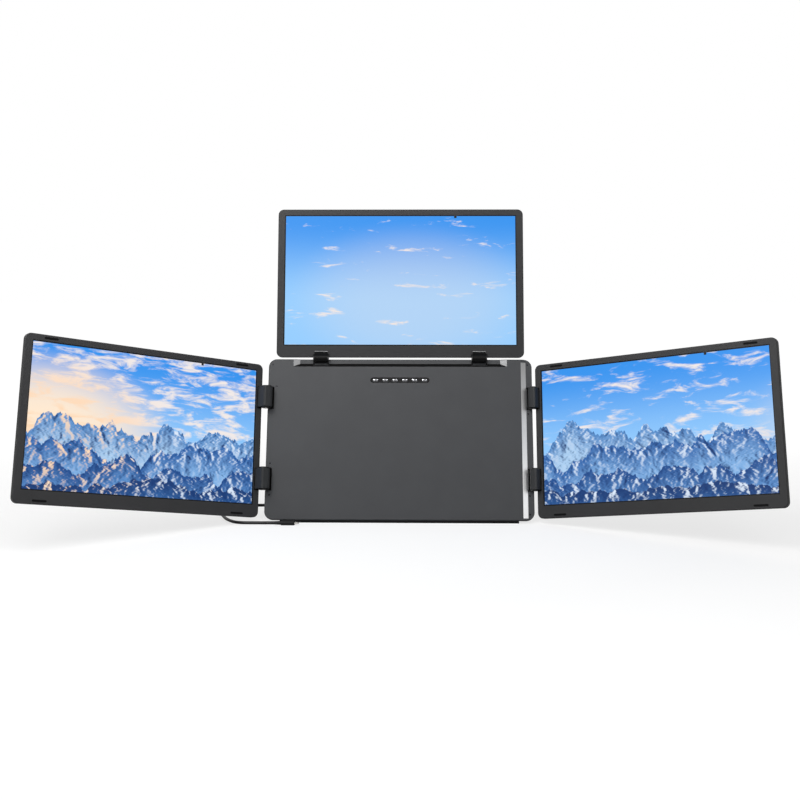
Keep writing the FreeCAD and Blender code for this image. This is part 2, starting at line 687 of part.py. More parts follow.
# A flat rounded block round the port's centre line, which runs along u

def port_block(v, half_l, half_h, u0, u1):
    face = Part.Face(port_outline(v, half_l, half_h, u0))
    return face.extrude(Vector(u1 - u0, 0, 0))


def port_outline(v, half_l, half_h, u):
    r = half_h * 0.96
    points = []
    for k in range(4 * PORT_CHORDS + 4):
        corner = k // (PORT_CHORDS + 1)
        side_v = 1 if corner in (0, 3) else -1
        side_n = 1 if corner in (0, 1) else -1
        a = math.radians(90.0) * (k - corner) / PORT_CHORDS
        points.append(Vector(u, -PORT_N - side_n * (half_h - r) - r * math.sin(a),
                             v + side_v * (half_l - r) + r * math.cos(a)))
    return Part.makePolygon(points + points[:1])


def port_shells():
    shells = []
    start = -BUMP_W / 2 + 0.2
    for i in range(2):
        v = PORT_V + i * PORT_PITCH
        outer = port_block(v, PORT_L / 2, PORT_H / 2, start, start + PORT_DEPTH)
        inner = port_block(v, PORT_L / 2 - PORT_WALL, PORT_H / 2 - PORT_WALL, start - 1,
                           start + PORT_DEPTH - 0.6)
        shells.append(outer.cut(inner))
    return shells


# The bright strip: a flat trim on the slope, with one fine groove along its middle

def edge_strip():
    u0 = HALF_W - STRIP_FROM_EDGE
    u1 = u0 + STRIP_W
    points = [(u0, 0), (u1, -RIM_DROP), (u1, -RIM_DROP - STRIP_T), (u0, -STRIP_T)]
    wire = Part.makePolygon([Vector(u, -n, STRIP_LOW) for u, n in points + points[:1]])
    strip = Part.Face(wire).extrude(Vector(0, 0, HUB_H - HUB_R - STRIP_LOW + 8.0))
    um = (u0 + u1) / 2
    nm = -RIM_DROP / 2
    g = STRIP_GROOVE_W / 2
    fall = RIM_DROP / STRIP_W
    cut = [(um - g, nm + 1), (um + g, nm + 1), (um + g, nm - g * fall - STRIP_GROOVE_D),
           (um - g, nm + g * fall - STRIP_GROOVE_D)]
    groove = Part.Face(Part.makePolygon([Vector(u, -n, 0) for u, n in cut + cut[:1]]))
    return strip.cut(groove.extrude(Vector(0, 0, HUB_H + 5)))


# Buttons, their inlay and the board behind them

def button_u(i):
    return (i - (BUTTONS - 1) / 2) * BUTTON_PITCH


def button_shape(i, grow, n0, n1):
    u = button_u(i)
    return rounded_slab(u - BUTTON_L / 2 - grow, u + BUTTON_L / 2 + grow, BAR_V - BUTTON_W / 2 - grow,
                        BAR_V + BUTTON_W / 2 + grow, n0, n1, BUTTON_R + grow, 3)


def button(i):
    cap = ease(button_shape(i, 0, -HUB_WALL - 0.1, BUTTON_PROUD), BUTTON_PROUD, BUTTON_EASE)
    u = button_u(i)
    half_l = BUTTON_L / 2 + BUTTON_LIP
    half_w = BUTTON_W / 2 + BUTTON_LIP
    lip = slab(u - half_l, u + half_l, BAR_V - half_w, BAR_V + half_w, -BUTTON_FOOT, -HUB_WALL)
    return cap.fuse(lip).removeSplitter()


def button_inlay():
    half_l = BAR_L / 2 - INLAY_FIT
    half_w = BAR_W / 2 - INLAY_FIT
    inlay = rounded_slab(-half_l, half_l, BAR_V - half_w, BAR_V + half_w, -BAR_DEPTH, -BAR_DEPTH + INLAY_T,
                         half_w - 0.02, BAR_CHORDS)
    return inlay.cut([button_shape(i, BUTTON_CLEAR, -BAR_DEPTH - 1, 1) for i in range(BUTTONS)])


def button_board():
    top = -BUTTON_FOOT - BUTTON_TRAVEL - SWITCH_GAP
    seat = top - SWITCH_T
    under = seat - BUTTON_BOARD_T
    post_w, post_h = SWITCH_POST
    half = BUTTON_PITCH * BUTTONS / 2 + post_w
    board_w = BUTTON_BOARD_W / 2
    board = slab(-half, half, BAR_V - board_w, BAR_V + board_w, under, seat)
    s = SWITCH_SIZE / 2
    switches = [slab(button_u(i) - s, button_u(i) + s, BAR_V - s, BAR_V + s, seat, top)
                for i in range(BUTTONS)]
    posts = [slab(u - post_w / 2, u + post_w / 2, BAR_V - post_h / 2, BAR_V + post_h / 2, CHASSIS_FRONT,
                  under) for u in (-half + post_w, half - post_w)]
    return join([board] + switches + posts)


# A screen, opened flat. u0 and v0 are its lower left corner.

def screen_frame(u0, v0, hinge):
    u1 = u0 + SCREEN_W
    v1 = v0 + SCREEN_H
    w = SCREEN_WALL
    frame = rounded_slab(u0, u1, v0, v1, -BEZEL_DEPTH, 0, SCREEN_R, SCREEN_CHORDS)
    frame = ease(frame, 0, SCREEN_EDGE_ROUND)
    cavity = rounded_slab(u0 + w, u1 - w, v0 + w, v1 - w, -BEZEL_DEPTH - 1, -BEZEL_FACE, SCREEN_R - w,
                          INNER_CHORDS)
    b = WINDOW_BORDER
    wu0 = u0 + BEZEL_SIDE - b
    wu1 = u1 - BEZEL_SIDE + b
    wv0 = v0 + BEZEL_CHIN - b
    wv1 = v1 - BEZEL_TOP + b
    window = slab(wu0, wu1, wv0, wv1, -BEZEL_FACE - 1, 1)
    tab_u = wu0 + TAB_PLACE * (wu1 - wu0)
    tab = slab(tab_u - TAB_W / 2, tab_u + TAB_W / 2, wv1 - TAB_H, wv1 + 1, -BEZEL_FACE, -TAB_SINK)
    cuts = hinge.all(hinge.screen_notch())
    if hinge.side != "top":
        cuts += bumper_pads(u0, v0, 0)
    return frame.cut([cavity, window]).fuse(tab).removeSplitter().cut(cuts)


def screen_back(u0, v0, hinge):
    u1 = u0 + SCREEN_W
    v1 = v0 + SCREEN_H
    w = SCREEN_WALL
    back = rounded_slab(u0, u1, v0, v1, -SCREEN_T, -BEZEL_DEPTH, SCREEN_R, SCREEN_CHORDS)
    back = ease(back, -SCREEN_T, SCREEN_EDGE_ROUND * 1.5)
    cavity = rounded_slab(u0 + w, u1 - w, v0 + w, v1 - w, -SCREEN_T + BACK_WALL, 1, SCREEN_R - w,
                          INNER_CHORDS)
    return back.cut([cavity] + hinge.all(hinge.screen_notch()))


def panel(u0, v0, lap, n0, n1):
    return slab(u0 + BEZEL_SIDE - lap, u0 + SCREEN_W - BEZEL_SIDE + lap, v0 + BEZEL_CHIN - lap,
                v0 + SCREEN_H - BEZEL_TOP + lap, n0, n1)


def screen_board(u0, v0):
    long, high, thick = SCREEN_BOARD
    um = u0 + SCREEN_W / 2
    vm = v0 + BEZEL_CHIN + SCREEN_BOARD_UP
    n = -SCREEN_T + BACK_WALL
    board = slab(um - long / 2, um + long / 2, vm - high / 2, vm + high / 2, n, n + thick)
    size, chip_t = SCREEN_CHIP
    chips = []
    for share in (-0.27, 0.0, 0.25):
        u = um + share * long
        chips.append(slab(u - size / 2, u + size / 2, vm - size / 2, vm + size / 2, n + thick,
                          n + thick + chip_t))
    return join([board] + chips)


def bumper_pads(u0, v0, h):
    pads = []
    for u in (u0 + BUMPER_FROM_END, u0 + SCREEN_W - BUMPER_FROM_END):
        for v in (v0 + BUMPER_FROM_EDGE, v0 + SCREEN_H - BUMPER_FROM_EDGE):
            pads.append(rounded_slab(u - BUMPER_L / 2, u + BUMPER_L / 2, v - BUMPER_W / 2, v + BUMPER_W / 2,
                                     -BUMPER_SINK, h, BUMPER_W / 2 - 0.01, INNER_CHORDS))
    return pads


def make_screen(name, u0, v0):
    hinge = hinges[name]
    save(name + "_bezel", screen_frame(u0, v0, hinge), name)
    save(name + "_back_cover", screen_back(u0, v0, hinge), name)
    glass = -BEZEL_FACE - PANEL_T
    save(name + "_display_panel", panel(u0, v0, PANEL_LAP, glass, -BEZEL_FACE), name)
    save(name + "_light_guide", panel(u0, v0, PANEL_LAP, glass - LIGHT_GUIDE_T, glass), name)
    save(name + "_driver_board", screen_board(u0, v0), name)
    save(name + "_hinge_arms", hinge.all(hinge.arm()), name)
    save(name + "_hinge_covers", hinge.all(hinge.cover()), name)
    if name != "top":
        save(name + "_bumpers", bumper_pads(u0, v0, BUMPER_H), name)
    save(name + "_hinge_brackets", hinge.all(hinge.bracket()))
    save(name + "_hinge_pins", hinge.all(hinge.pin()))


# Kickstand, drawn closed in its recess

def kick_rod(r, u0, u1, v=KICK_V):
    return Part.makeCylinder(r, u1 - u0, Vector(u0, KICK_AXIS_DEPTH, v), X_AXIS)


def kick_prism(r, u0, u1, sides=16):
    outer = r / math.cos(math.pi / sides)
    turns = [math.tau * (k + 0.5) / sides for k in range(sides)]
    points = [Vector(u0, KICK_AXIS_DEPTH + outer * math.cos(t), KICK_V + outer * math.sin(t)) for t in turns]
    return Part.Face(Part.makePolygon(points + points[:1])).extrude(Vector(u1 - u0, 0, 0))


def kick_spans():
    outer = KICK_HALF_W - 1
    return [(-outer, -outer + KICK_BARREL_L), (outer - KICK_BARREL_L, outer)]


def kickstand_sheet():
    return slab(-KICK_HALF_W, KICK_HALF_W, KICK_FOOT_V, KICK_V, -KICK_AXIS_DEPTH - KICK_T / 2,
                -KICK_AXIS_DEPTH + KICK_T / 2)


def kickstand_plate():
    sheet = kickstand_sheet()
    uprights = [e for e in sheet.Edges
                if e.BoundBox.YLength > KICK_T / 2 and e.BoundBox.ZMax < KICK_FOOT_V + 1]
    sheet = sheet.makeFillet(KICK_CORNER_R, uprights)
    spans = kick_spans()
    gap = slab(spans[0][1], spans[1][0], KICK_V - KICK_BARREL_R - KICK_SIDE_GAP, KICK_V + 1,
               -KICK_AXIS_DEPTH - KICK_T, -KICK_AXIS_DEPTH + KICK_T)
    barrels = [kick_prism(KICK_BARREL_R, u0, u1) for u0, u1 in spans]
    bore = kick_rod(KICK_PIN_R + RUNNING, -KICK_HALF_W - 5, KICK_HALF_W + 5)
    return join([sheet.cut(gap)] + barrels).cut([bore, foot_core()])


# Tongue of the rubber foot bar, moulded into the end of the sheet

def foot_core():
    half = KICK_FOOT_HALF_L
    return slab(-half, half, KICK_FOOT_V - 1, KICK_FOOT_V + KICK_FOOT_R / 2, -KICK_AXIS_DEPTH - KICK_T,
                -KICK_AXIS_DEPTH + KICK_T)


def kickstand_foot():
    bar = kick_rod(KICK_FOOT_R, -KICK_FOOT_HALF_L, KICK_FOOT_HALF_L, KICK_FOOT_V)
    return bar.cut(kickstand_sheet().cut(foot_core()))


def kickstand_blocks():
    n = -(KICK_AXIS_DEPTH - KICK_BARREL_R - KICK_GAP)
    blocks = []
    for inner, outer in ((kick_spans()[0][1] + LOOSE, 1), (kick_spans()[1][0] - LOOSE, -1)):
        u0, u1 = sorted((inner, inner + outer * KICK_BLOCK_L))
        block = slab(u0, u1, KICK_V - KICK_BARREL_R, KICK_V + KICK_BARREL_R, -KICK_AXIS_DEPTH, n)
        knuckle = kick_prism(KICK_BARREL_R, u0, u1)
        blocks.append(block.fuse(knuckle).removeSplitter().cut(kick_prism(KICK_PIN_R, u0 - 1, u1 + 1, 12)))
    return blocks


def kickstand_pins():
    inner = kick_spans()[1][0] - LOOSE - KICK_BLOCK_L
    outer = KICK_HALF_W + KICK_SIDE_GAP + KICK_PIN_SEAT
    return [kick_rod(KICK_PIN_R, -outer, -inner), kick_rod(KICK_PIN_R, inner, outer)]


# The cable: one plug in the lower port behind the hub, a loop on the table behind the left
# screen, then forward under that screen to the other plug, which lies on the table.

def tube(points, d):
    path, radii = rounded_path(points)
    start = path.Edges[0]
    centre = start.Vertexes[0].Point
    corners = [Vector(0, d / 2 * math.cos(t), d / 2 * math.sin(t)) for t in
               [math.tau * k / CABLE_SIDES for k in range(CABLE_SIDES)]]
    section = Part.makePolygon([centre + c for c in corners + corners[:1]])
    pipe = path.makePipeShell([section], True, False)
    area = CABLE_SIDES * d * d / 8 * math.sin(math.tau / CABLE_SIDES)
    print("cable: length %.1f, volume ratio %.4f, smallest radius %.1f of %s" % (
        path.Length, pipe.Volume / (area * path.Length), min(radii), [round(r, 1) for r in radii]))
    return pipe


def rounded_path(points):
    edges = []
    radii = []
    at = points[0]
    for i in range(1, len(points) - 1):
        back = points[i - 1] - points[i]
        ahead = points[i + 1] - points[i]
        shorter = min(back.Length, ahead.Length)
        back.normalize()
        ahead.normalize()
        turn = math.pi - back.getAngle(ahead)
        reach = 0.45 * shorter
        radius = reach / math.tan(turn / 2)
        radii.append(radius)
        a = points[i] + back * reach
        b = points[i] + ahead * reach
        middle = back + ahead
        middle.normalize()
        inside = points[i] + middle * (radius / math.cos(turn / 2) - radius)
        edges.append(Part.LineSegment(at, a).toShape())
        edges.append(Part.Arc(a, inside, b).toShape())
        at = b
    edges.append(Part.LineSegment(at, points[-1]).toShape())
    return Part.Wire(edges), radii


# A moulded plug on its own axis: the tip points along +X, the body ends in a tapered relief.
# Outlines with the same number of points are joined by flat faces.

def plug_outline(w, h, x, r):
    points = []
    for k in range(4 * PLUG_CHORDS + 4):
        corner = k // (PLUG_CHORDS + 1)
        side_y = 1 if corner in (0, 3) else -1
        side_z = 1 if corner in (0, 1) else -1
        a = math.radians(90.0) * (k - corner) / PLUG_CHORDS
        points.append(Vector(x, side_y * (w / 2 - r) + r * math.cos(a),
                             side_z * (h / 2 - r) + r * math.sin(a)))
    return points


def plug_block(back, front):
    faces = [Part.Face(Part.makePolygon(ring + ring[:1])) for ring in (back, front)]
    for i in range(len(back)):
        corners = [back[i - 1], back[i], front[i], front[i - 1]]
        faces.append(Part.Face(Part.makePolygon(corners + corners[:1])))
    return Part.makeSolid(Part.makeShell(faces))


def plug_body():
    w, h, length = PLUG_BODY
    e = PLUG_EASE
    middle = plug_outline(w, h, -e, PLUG_R)
    block = plug_block(plug_outline(w, h, -length, PLUG_R), middle)
    nose = plug_block(middle, plug_outline(w - e, h - e, 0, PLUG_R - e / 2))
    thick = CABLE_D + RELIEF_THICK
    thin = CABLE_D + RELIEF_THIN
    relief = plug_block(plug_outline(thin, thin, -length - RELIEF_L, thin * RELIEF_ROUND),
                        plug_outline(thick, thick, -length, thick * RELIEF_ROUND))
    return join([block, nose, relief])


def plug_tip():
    r = TIP_H * RELIEF_ROUND
    tip = plug_block(plug_outline(TIP_L, TIP_H, 0, r), plug_outline(TIP_L, TIP_H, TIP_REACH, r))
    wide, high, deep = TIP_MOUTH
    tongue = Part.makeBox(deep + 1, wide, high, Vector(TIP_REACH - deep, -wide / 2, -high / 2))
    return tip.cut(tongue)


def make_cable():
    body = plug_body()
    tip = plug_tip()
    port_face = -BUMP_W / 2
    # In the port the plug's wide side stands along v, and the tip points into the hub
    hub_plug = body.copy()
    hub_tip = tip.copy()
    for shape in (hub_plug, hub_tip):
        shape.rotate(Vector(0, 0, 0), X_AXIS, 90)
        shape.translate(Vector(port_face - PLUG_SEAT, -PORT_N, PORT_V))
    save("cable_hub_plug", hub_plug)
    save("cable_hub_plug_tip", hub_tip)
    flat_plug = body.copy()
    flat_tip = tip.copy()
    for shape in (flat_plug, flat_tip):
        shape.translate(Vector(*HOST_PLUG))
    save("cable_host_plug", flat_plug, "table")
    save("cable_host_plug_tip", flat_tip, "table")
    start = world(port_face - PLUG_SEAT - PLUG_BACK, PORT_V, PORT_N)
    end = Vector(HOST_PLUG[0] - PLUG_BACK, HOST_PLUG[1], HOST_PLUG[2])
    straight = Vector(-CABLE_EXIT, 0, 0)
    route = [start, start + straight] + [Vector(*p) for p in CABLE_ROUTE] + [end + straight, end]
    save("cable", tube(route, CABLE_D), "table")
    print("cable route", [tuple(round(c, 1) for c in p) for p in route])


# The whole

save("hub_front_cover", hub_front_cover())
save("hub_rear_cover", hub_rear_cover())
save("hub_chassis_plate", chassis_plate())
save("hub_main_board", main_board())
save("hub_front_screws", hub_screws())
save("hub_edge_strip", edge_strip())
save("hub_foot_strip", foot_strip())
save("hub_port_shells", port_shells())
save("hub_button_inlay", button_inlay())
save("hub_button_board", button_board())
for i in range(BUTTONS):
    save("button_%d" % (i + 1), button(i))
save("kickstand_plate", kickstand_plate(), "kickstand")
save("kickstand_foot_bar", kickstand_foot(), "kickstand")
save("kickstand_hinge_blocks", kickstand_blocks())
save("kickstand_hinge_pins", kickstand_pins())
make_screen("left", LEFT_AXIS_U - EDGE_LEFT - SCREEN_W, SIDE_SCREEN_V)
make_screen("right", RIGHT_AXIS_U + EDGE_RIGHT, SIDE_SCREEN_V)
make_screen("top", -SCREEN_W / 2, TOP_AXIS_V + EDGE_TOP)
make_cable()
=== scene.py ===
import bmesh
import bpy
import json
import math
from mathutils import Matrix, Vector
from mathutils.bvhtree import BVHTree


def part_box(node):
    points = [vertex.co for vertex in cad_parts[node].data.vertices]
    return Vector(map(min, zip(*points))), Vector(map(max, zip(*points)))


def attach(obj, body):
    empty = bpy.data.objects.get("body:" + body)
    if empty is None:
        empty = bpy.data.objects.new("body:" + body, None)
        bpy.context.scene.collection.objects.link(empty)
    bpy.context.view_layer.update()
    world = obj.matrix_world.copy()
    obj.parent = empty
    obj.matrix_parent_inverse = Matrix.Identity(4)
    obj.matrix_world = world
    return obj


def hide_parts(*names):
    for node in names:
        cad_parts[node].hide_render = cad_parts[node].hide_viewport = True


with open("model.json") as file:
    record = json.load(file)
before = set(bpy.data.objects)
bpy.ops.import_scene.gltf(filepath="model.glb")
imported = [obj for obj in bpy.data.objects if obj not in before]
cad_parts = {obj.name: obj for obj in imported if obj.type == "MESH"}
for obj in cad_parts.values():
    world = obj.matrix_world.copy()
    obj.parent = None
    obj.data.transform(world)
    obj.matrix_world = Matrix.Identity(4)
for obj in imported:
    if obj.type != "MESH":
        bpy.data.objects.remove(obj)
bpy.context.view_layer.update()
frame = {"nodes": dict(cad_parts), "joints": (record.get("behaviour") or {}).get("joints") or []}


# Camera, at eye height in front of the hub and turned a little to the right.
# The focal length is that of a short telephoto lens, which keeps the side screens from spreading.

camera = bpy.data.cameras.new("camera")
camera.lens = 59.71
camera.sensor_width = 36.0
camera.shift_y = -0.1875
viewer = bpy.data.objects.new("camera", camera)
viewer.location = (0.0485, -2.1137, 0.4093)
viewer.rotation_euler = (math.radians(90.64), 0.0, math.radians(1.28))
bpy.context.scene.collection.objects.link(viewer)
bpy.context.scene.camera = viewer


# Cable: a screened lead half a metre long in a soft black jacket of thermoplastic elastomer.
# It leaves the lower socket behind the hub, turns back on itself on the table behind the left
# screen, and comes forward under that screen to its second plug.

# An sRGB hex colour, turned to linear
def linear(code):
    parts = [int(code[i:i + 2], 16) / 255 for i in (1, 3, 5)]
    return tuple(c / 12.92 if c <= 0.04045 else ((c + 0.055) / 1.055) ** 2.4 for c in parts) + (1.0,)


# Adds a node: a socket given to it is linked, and any other value is set
def add(tree, kind, sockets={}, out=0, **settings):
    node = tree.nodes.new("ShaderNode" + kind)
    for key, value in settings.items():
        setattr(node, key, value)
    for key, value in sockets.items():
        if isinstance(value, bpy.types.NodeSocket):
            tree.links.new(value, node.inputs[key])
        else:
            node.inputs[key].default_value = value
    return node.outputs[out] if node.outputs else None


def new_material(name):
    material = bpy.data.materials.new(name)
    material.use_nodes = True
    material.node_tree.nodes.clear()
    return material, material.node_tree


# Grained skin, for moulded plastic, rubber and powder coat alike: an even colour with faint
# clouding, and the fine spark-eroded grain of the mould, which breaks up the highlight. The grain
# is drawn coarser than the real 0.1 mm.
CLOUDING_MM = 45
GLOSS_SPREAD = 0.06


def grained_skin(name, colour, darker, grain_mm, grain_depth_mm, roughness, specular, ior=1.5):
    material, tree = new_material(name)
    place = add(tree, "TexCoord", out="Object")
    clouding = add(tree, "TexNoise", {"Vector": place, "Scale": 1000 / CLOUDING_MM, "Detail": 3.0})
    grain = add(tree, "TexNoise", {"Vector": place, "Scale": 1000 / grain_mm, "Detail": 2.0})
    tint = add(tree, "MixRGB", {"Fac": clouding, "Color1": linear(darker), "Color2": linear(colour)})
    gloss = add(tree, "MapRange", {"Value": grain, "To Min": roughness - GLOSS_SPREAD,
                                   "To Max": roughness + GLOSS_SPREAD})
    bump = add(tree, "Bump", {"Height": grain, "Distance": grain_depth_mm / 1000, "Strength": 0.6})
    shader = add(tree, "BsdfPrincipled", {"Base Color": tint, "Roughness": gloss, "Normal": bump,
                                          "IOR": ior, "Specular IOR Level": specular})
    add(tree, "OutputMaterial", {"Surface": shader})
    return material


def finish_node(node, material):
    part = frame["nodes"][node]
    part.data.materials.clear()
    part.data.materials.append(material)


CABLE_DIAMETER = 0.0048
CABLE_ROUTE = [
    (-0.2123, 0.0159, 0.0234),
    (-0.2363, 0.0159, 0.0234),
    (-0.2580, 0.0260, 0.0190),
    (-0.2700, 0.0520, 0.0100),
    (-0.2720, 0.0920, 0.0024),
    (-0.2860, 0.1300, 0.0024),
    (-0.3180, 0.1520, 0.0024),
    (-0.3520, 0.1460, 0.0024),
    (-0.3660, 0.1200, 0.0024),
    (-0.3500, 0.0960, 0.0024),
    (-0.3180, 0.0840, 0.0024),
    (-0.2950, 0.0640, 0.0024),
    (-0.2860, 0.0340, 0.0024),
    (-0.2750, 0.0040, 0.0024),
    (-0.2560, -0.0220, 0.0024),
    (-0.2200, -0.0250, 0.0032),
    (-0.1960, -0.0250, 0.0032),
]

curve = bpy.data.curves.new("cable", "CURVE")
curve.dimensions = "3D"
curve.bevel_depth = CABLE_DIAMETER / 2
curve.bevel_resolution = 6
curve.resolution_u = 16
spline = curve.splines.new("NURBS")
spline.points.add(len(CABLE_ROUTE) - 1)
for point, place in zip(spline.points, CABLE_ROUTE):
    point.co = (*place, 1.0)
spline.order_u = 3
spline.use_endpoint_u = True
cable = bpy.data.objects.new("cable_jacket", curve)
bpy.context.scene.collection.objects.link(cable)

# The jacket is nearly black and satin, with one soft line of light along its top. The plugs are
# moulded in a harder plastic, a touch greyer and smoother
elastomer = grained_skin("cable_jacket_elastomer", "#0e0e0f", "#0a0a0a", 0.9, 0.03,
                         roughness=0.42, specular=0.2)
curve.materials.append(elastomer)
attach(cable, "hub")
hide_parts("cable")

plug_plastic = grained_skin("plug_satin_moulding", "#111112", "#0c0c0d", 0.6, 0.02,
                            roughness=0.38, specular=0.2)
for node in ("cable_hub_plug", "cable_host_plug"):
    finish_node(node, plug_plastic)


# Plug tips and sockets: drawn nickel-plated steel shells, bright and smooth, with very faint
# drawing marks along the shell. The marks are drawn coarser than the real 0.05 mm.

DRAW_STRETCH = 0.05
STEEL_SPREAD = 0.08


def plated_steel(name, colour, darker, streak_mm, roughness):
    material, tree = new_material(name)
    place = add(tree, "TexCoord", out="Object")
    stretched = add(tree, "Mapping", {"Vector": place, "Scale": (DRAW_STRETCH, 1.0, 1.0)})
    marks = add(tree, "TexNoise", {"Vector": stretched, "Scale": 1000 / streak_mm, "Detail": 3.0})
    tint = add(tree, "MixRGB", {"Fac": marks, "Color1": linear(darker), "Color2": linear(colour)})
    gloss = add(tree, "MapRange", {"Value": marks, "To Min": roughness - STEEL_SPREAD,
                                   "To Max": roughness + STEEL_SPREAD})
    bump = add(tree, "Bump", {"Height": marks, "Distance": 0.00002, "Strength": 0.3})
    shader = add(tree, "BsdfPrincipled", {"Base Color": tint, "Metallic": 1.0, "Roughness": gloss,
                                          "Normal": bump})
    add(tree, "OutputMaterial", {"Surface": shader})
    return material


nickel = plated_steel("plug_shell_nickel", "#c9c6c0", "#b3b0aa", 0.4, 0.24)
for node in ("cable_hub_plug_tip", "cable_host_plug_tip", "hub_port_shells"):
    finish_node(node, nickel)


# Hub casing: two shells moulded in dark grey ABS, screwed together round the steel chassis. The
# mould's grain leaves them matt, a little lighter where the light grazes them.

hub_abs = grained_skin("hub_casing_abs", "#434446", "#3c3d3f", 0.9, 0.05,
                       roughness=0.46, specular=0.15)
for node in ("hub_front_cover", "hub_rear_cover"):
    finish_node(node, hub_abs)


# Trough at the upper edge: a near-black matt strip on its lower slope, where the upper hinge covers
# come down when that screen is folded, is painted shade for that slope. It is narrow at the hinges.

joints = {joint["name"]: joint for joint in frame["joints"]}
U_AXIS = Vector((1, 0, 0))
V_AXIS = Vector(joints["left_fold"]["axis"])
N_AXIS = -Vector(joints["button_1_press"]["axis"])
TOP_PIN = Vector(joints["top_fold"]["pos_m"])
HUB_TOP_V = -0.0014
FACE_N = -0.0004


# A place on the hub's face: u across, v up from its top edge, n out of the face
def on_hub(u, v, n):
    return TOP_PIN + U_AXIS * u + V_AXIS * (HUB_TOP_V + v) + N_AXIS * (FACE_N + n)


# A detail that rides on a body, and takes the place of the nodes named last, where there are any
def new_piece(name, form, material, body, slot, *nodes):
    mesh = bpy.data.meshes.new(name)
    form.to_mesh(mesh)
    form.free()
    mesh.materials.append(material)
    piece = bpy.data.objects.new(name, mesh)
    bpy.context.scene.collection.objects.link(piece)
    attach(piece, body)
    if nodes:
        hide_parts(*nodes)


# Walls between neighbouring rings of points, and a cap on the first and the last
def close_rings(form, rings):
    for low, high in zip(rings, rings[1:]):
        for k in range(len(low)):
            form.faces.new((low[k - 1], low[k], high[k], high[k - 1]))
    form.faces.new(rings[0])
    form.faces.new(rings[-1])
    bmesh.ops.recalc_face_normals(form, faces=form.faces)


def slab_on_outline(outline, lift):
    form = bmesh.new()
    under = [form.verts.new(point) for point in outline]
    over = [form.verts.new(point + lift) for point in outline]
    close_rings(form, [under, over])
    return form


SLOPE_FOOT = (-0.0074, -0.0029)
SLOPE_TOP = (-0.0122, -0.0001)
SLOPE_WAIST = 0.55
TRIM_TOP_HALF = 0.175
TRIM_FOOT_HALF = 0.1705
TRIM_THICK = 0.00025
TRIM_LEAN = (0.5, 0.866)
HINGE_U = 0.1296
HINGE_CLEAR = 0.0132
waist = [a + (b - a) * SLOPE_WAIST for a, b in zip(SLOPE_FOOT, SLOPE_TOP)]
trim_edge = [on_hub(-TRIM_TOP_HALF, *SLOPE_TOP), on_hub(TRIM_TOP_HALF, *SLOPE_TOP),
             on_hub(TRIM_FOOT_HALF, *SLOPE_FOOT)]
for middle in (HINGE_U, -HINGE_U):
    for u, (v, n) in ((middle + HINGE_CLEAR, SLOPE_FOOT), (middle + HINGE_CLEAR, waist),
                      (middle - HINGE_CLEAR, waist), (middle - HINGE_CLEAR, SLOPE_FOOT)):
        trim_edge.append(on_hub(u, v, n))
trim_edge.append(on_hub(-TRIM_FOOT_HALF, *SLOPE_FOOT))

# Near black and matt, so the slope reads as a black line: painted shade
trough_shade_strip = grained_skin("trough_painted_shade_strip", "#0a0a0a", "#070707", 1.2, 0.04,
                           roughness=0.7, specular=0.06)
trim_lift = (V_AXIS * TRIM_LEAN[0] + N_AXIS * TRIM_LEAN[1]).normalized() * TRIM_THICK
new_piece("trough_trim", slab_on_outline(trim_edge, trim_lift), trough_shade_strip, "hub", "rubber")


# End slopes of that trough: polished in the mould, where the rest of the shell is grained, so that
# each throws back the soft box on its far side. Their skin stands a fifth of a millimetre proud.

END_CORNERS = ((0.1745, -0.0008, -0.00025), (0.1745, -0.0118, -0.00025),
               (0.1640, -0.0078, -0.00287), (0.1640, -0.0008, -0.00287))
END_LEAN = (0.2425, 0.97)
END_PROUD = 0.0002

# Polished plastic shows the lamp as a clear pale patch. Its grey is lighter than the hub's, a painted
# highlight
polished_abs = grained_skin("trough_end_polished_painted_highlight_abs", "#58595b", "#505153", 3.0, 0.01,
                            roughness=0.16, specular=0.9)
for side, turned in (("left", -1), ("right", 1)):
    corners = [on_hub(turned * u, v, n) for u, v, n in END_CORNERS]
    end_lift = (U_AXIS * -turned * END_LEAN[0] + N_AXIS * END_LEAN[1]) * END_PROUD
    new_piece(side + "_trough_end", slab_on_outline(corners, end_lift), polished_abs,
              "hub", "hub_housing")


# Screws that hold the front shell: steel, chemically blackened, sunk below the face. They look
# like dark dots with a dull metal glint.

black_oxide = plated_steel("screw_black_oxide", "#2a2a2c", "#1c1c1e", 0.5, 0.42)
finish_node("hub_front_screws", black_oxide)


# Trim on the slope down to the right rim: satin anodised aluminium strip, glued in its step. Brush
# marks along it catch the light, and are drawn coarser than the real 0.1 mm. Its colour is painted
# light: near white at its foot, a painted highlight, fading to painted shade, mid grey, at its top.

MARK_STRETCH = 0.03
SHARPER = 0.05
DULLER = 0.07
STRIP_PAINTED_LIGHT_FADE = (0.04, 0.25)


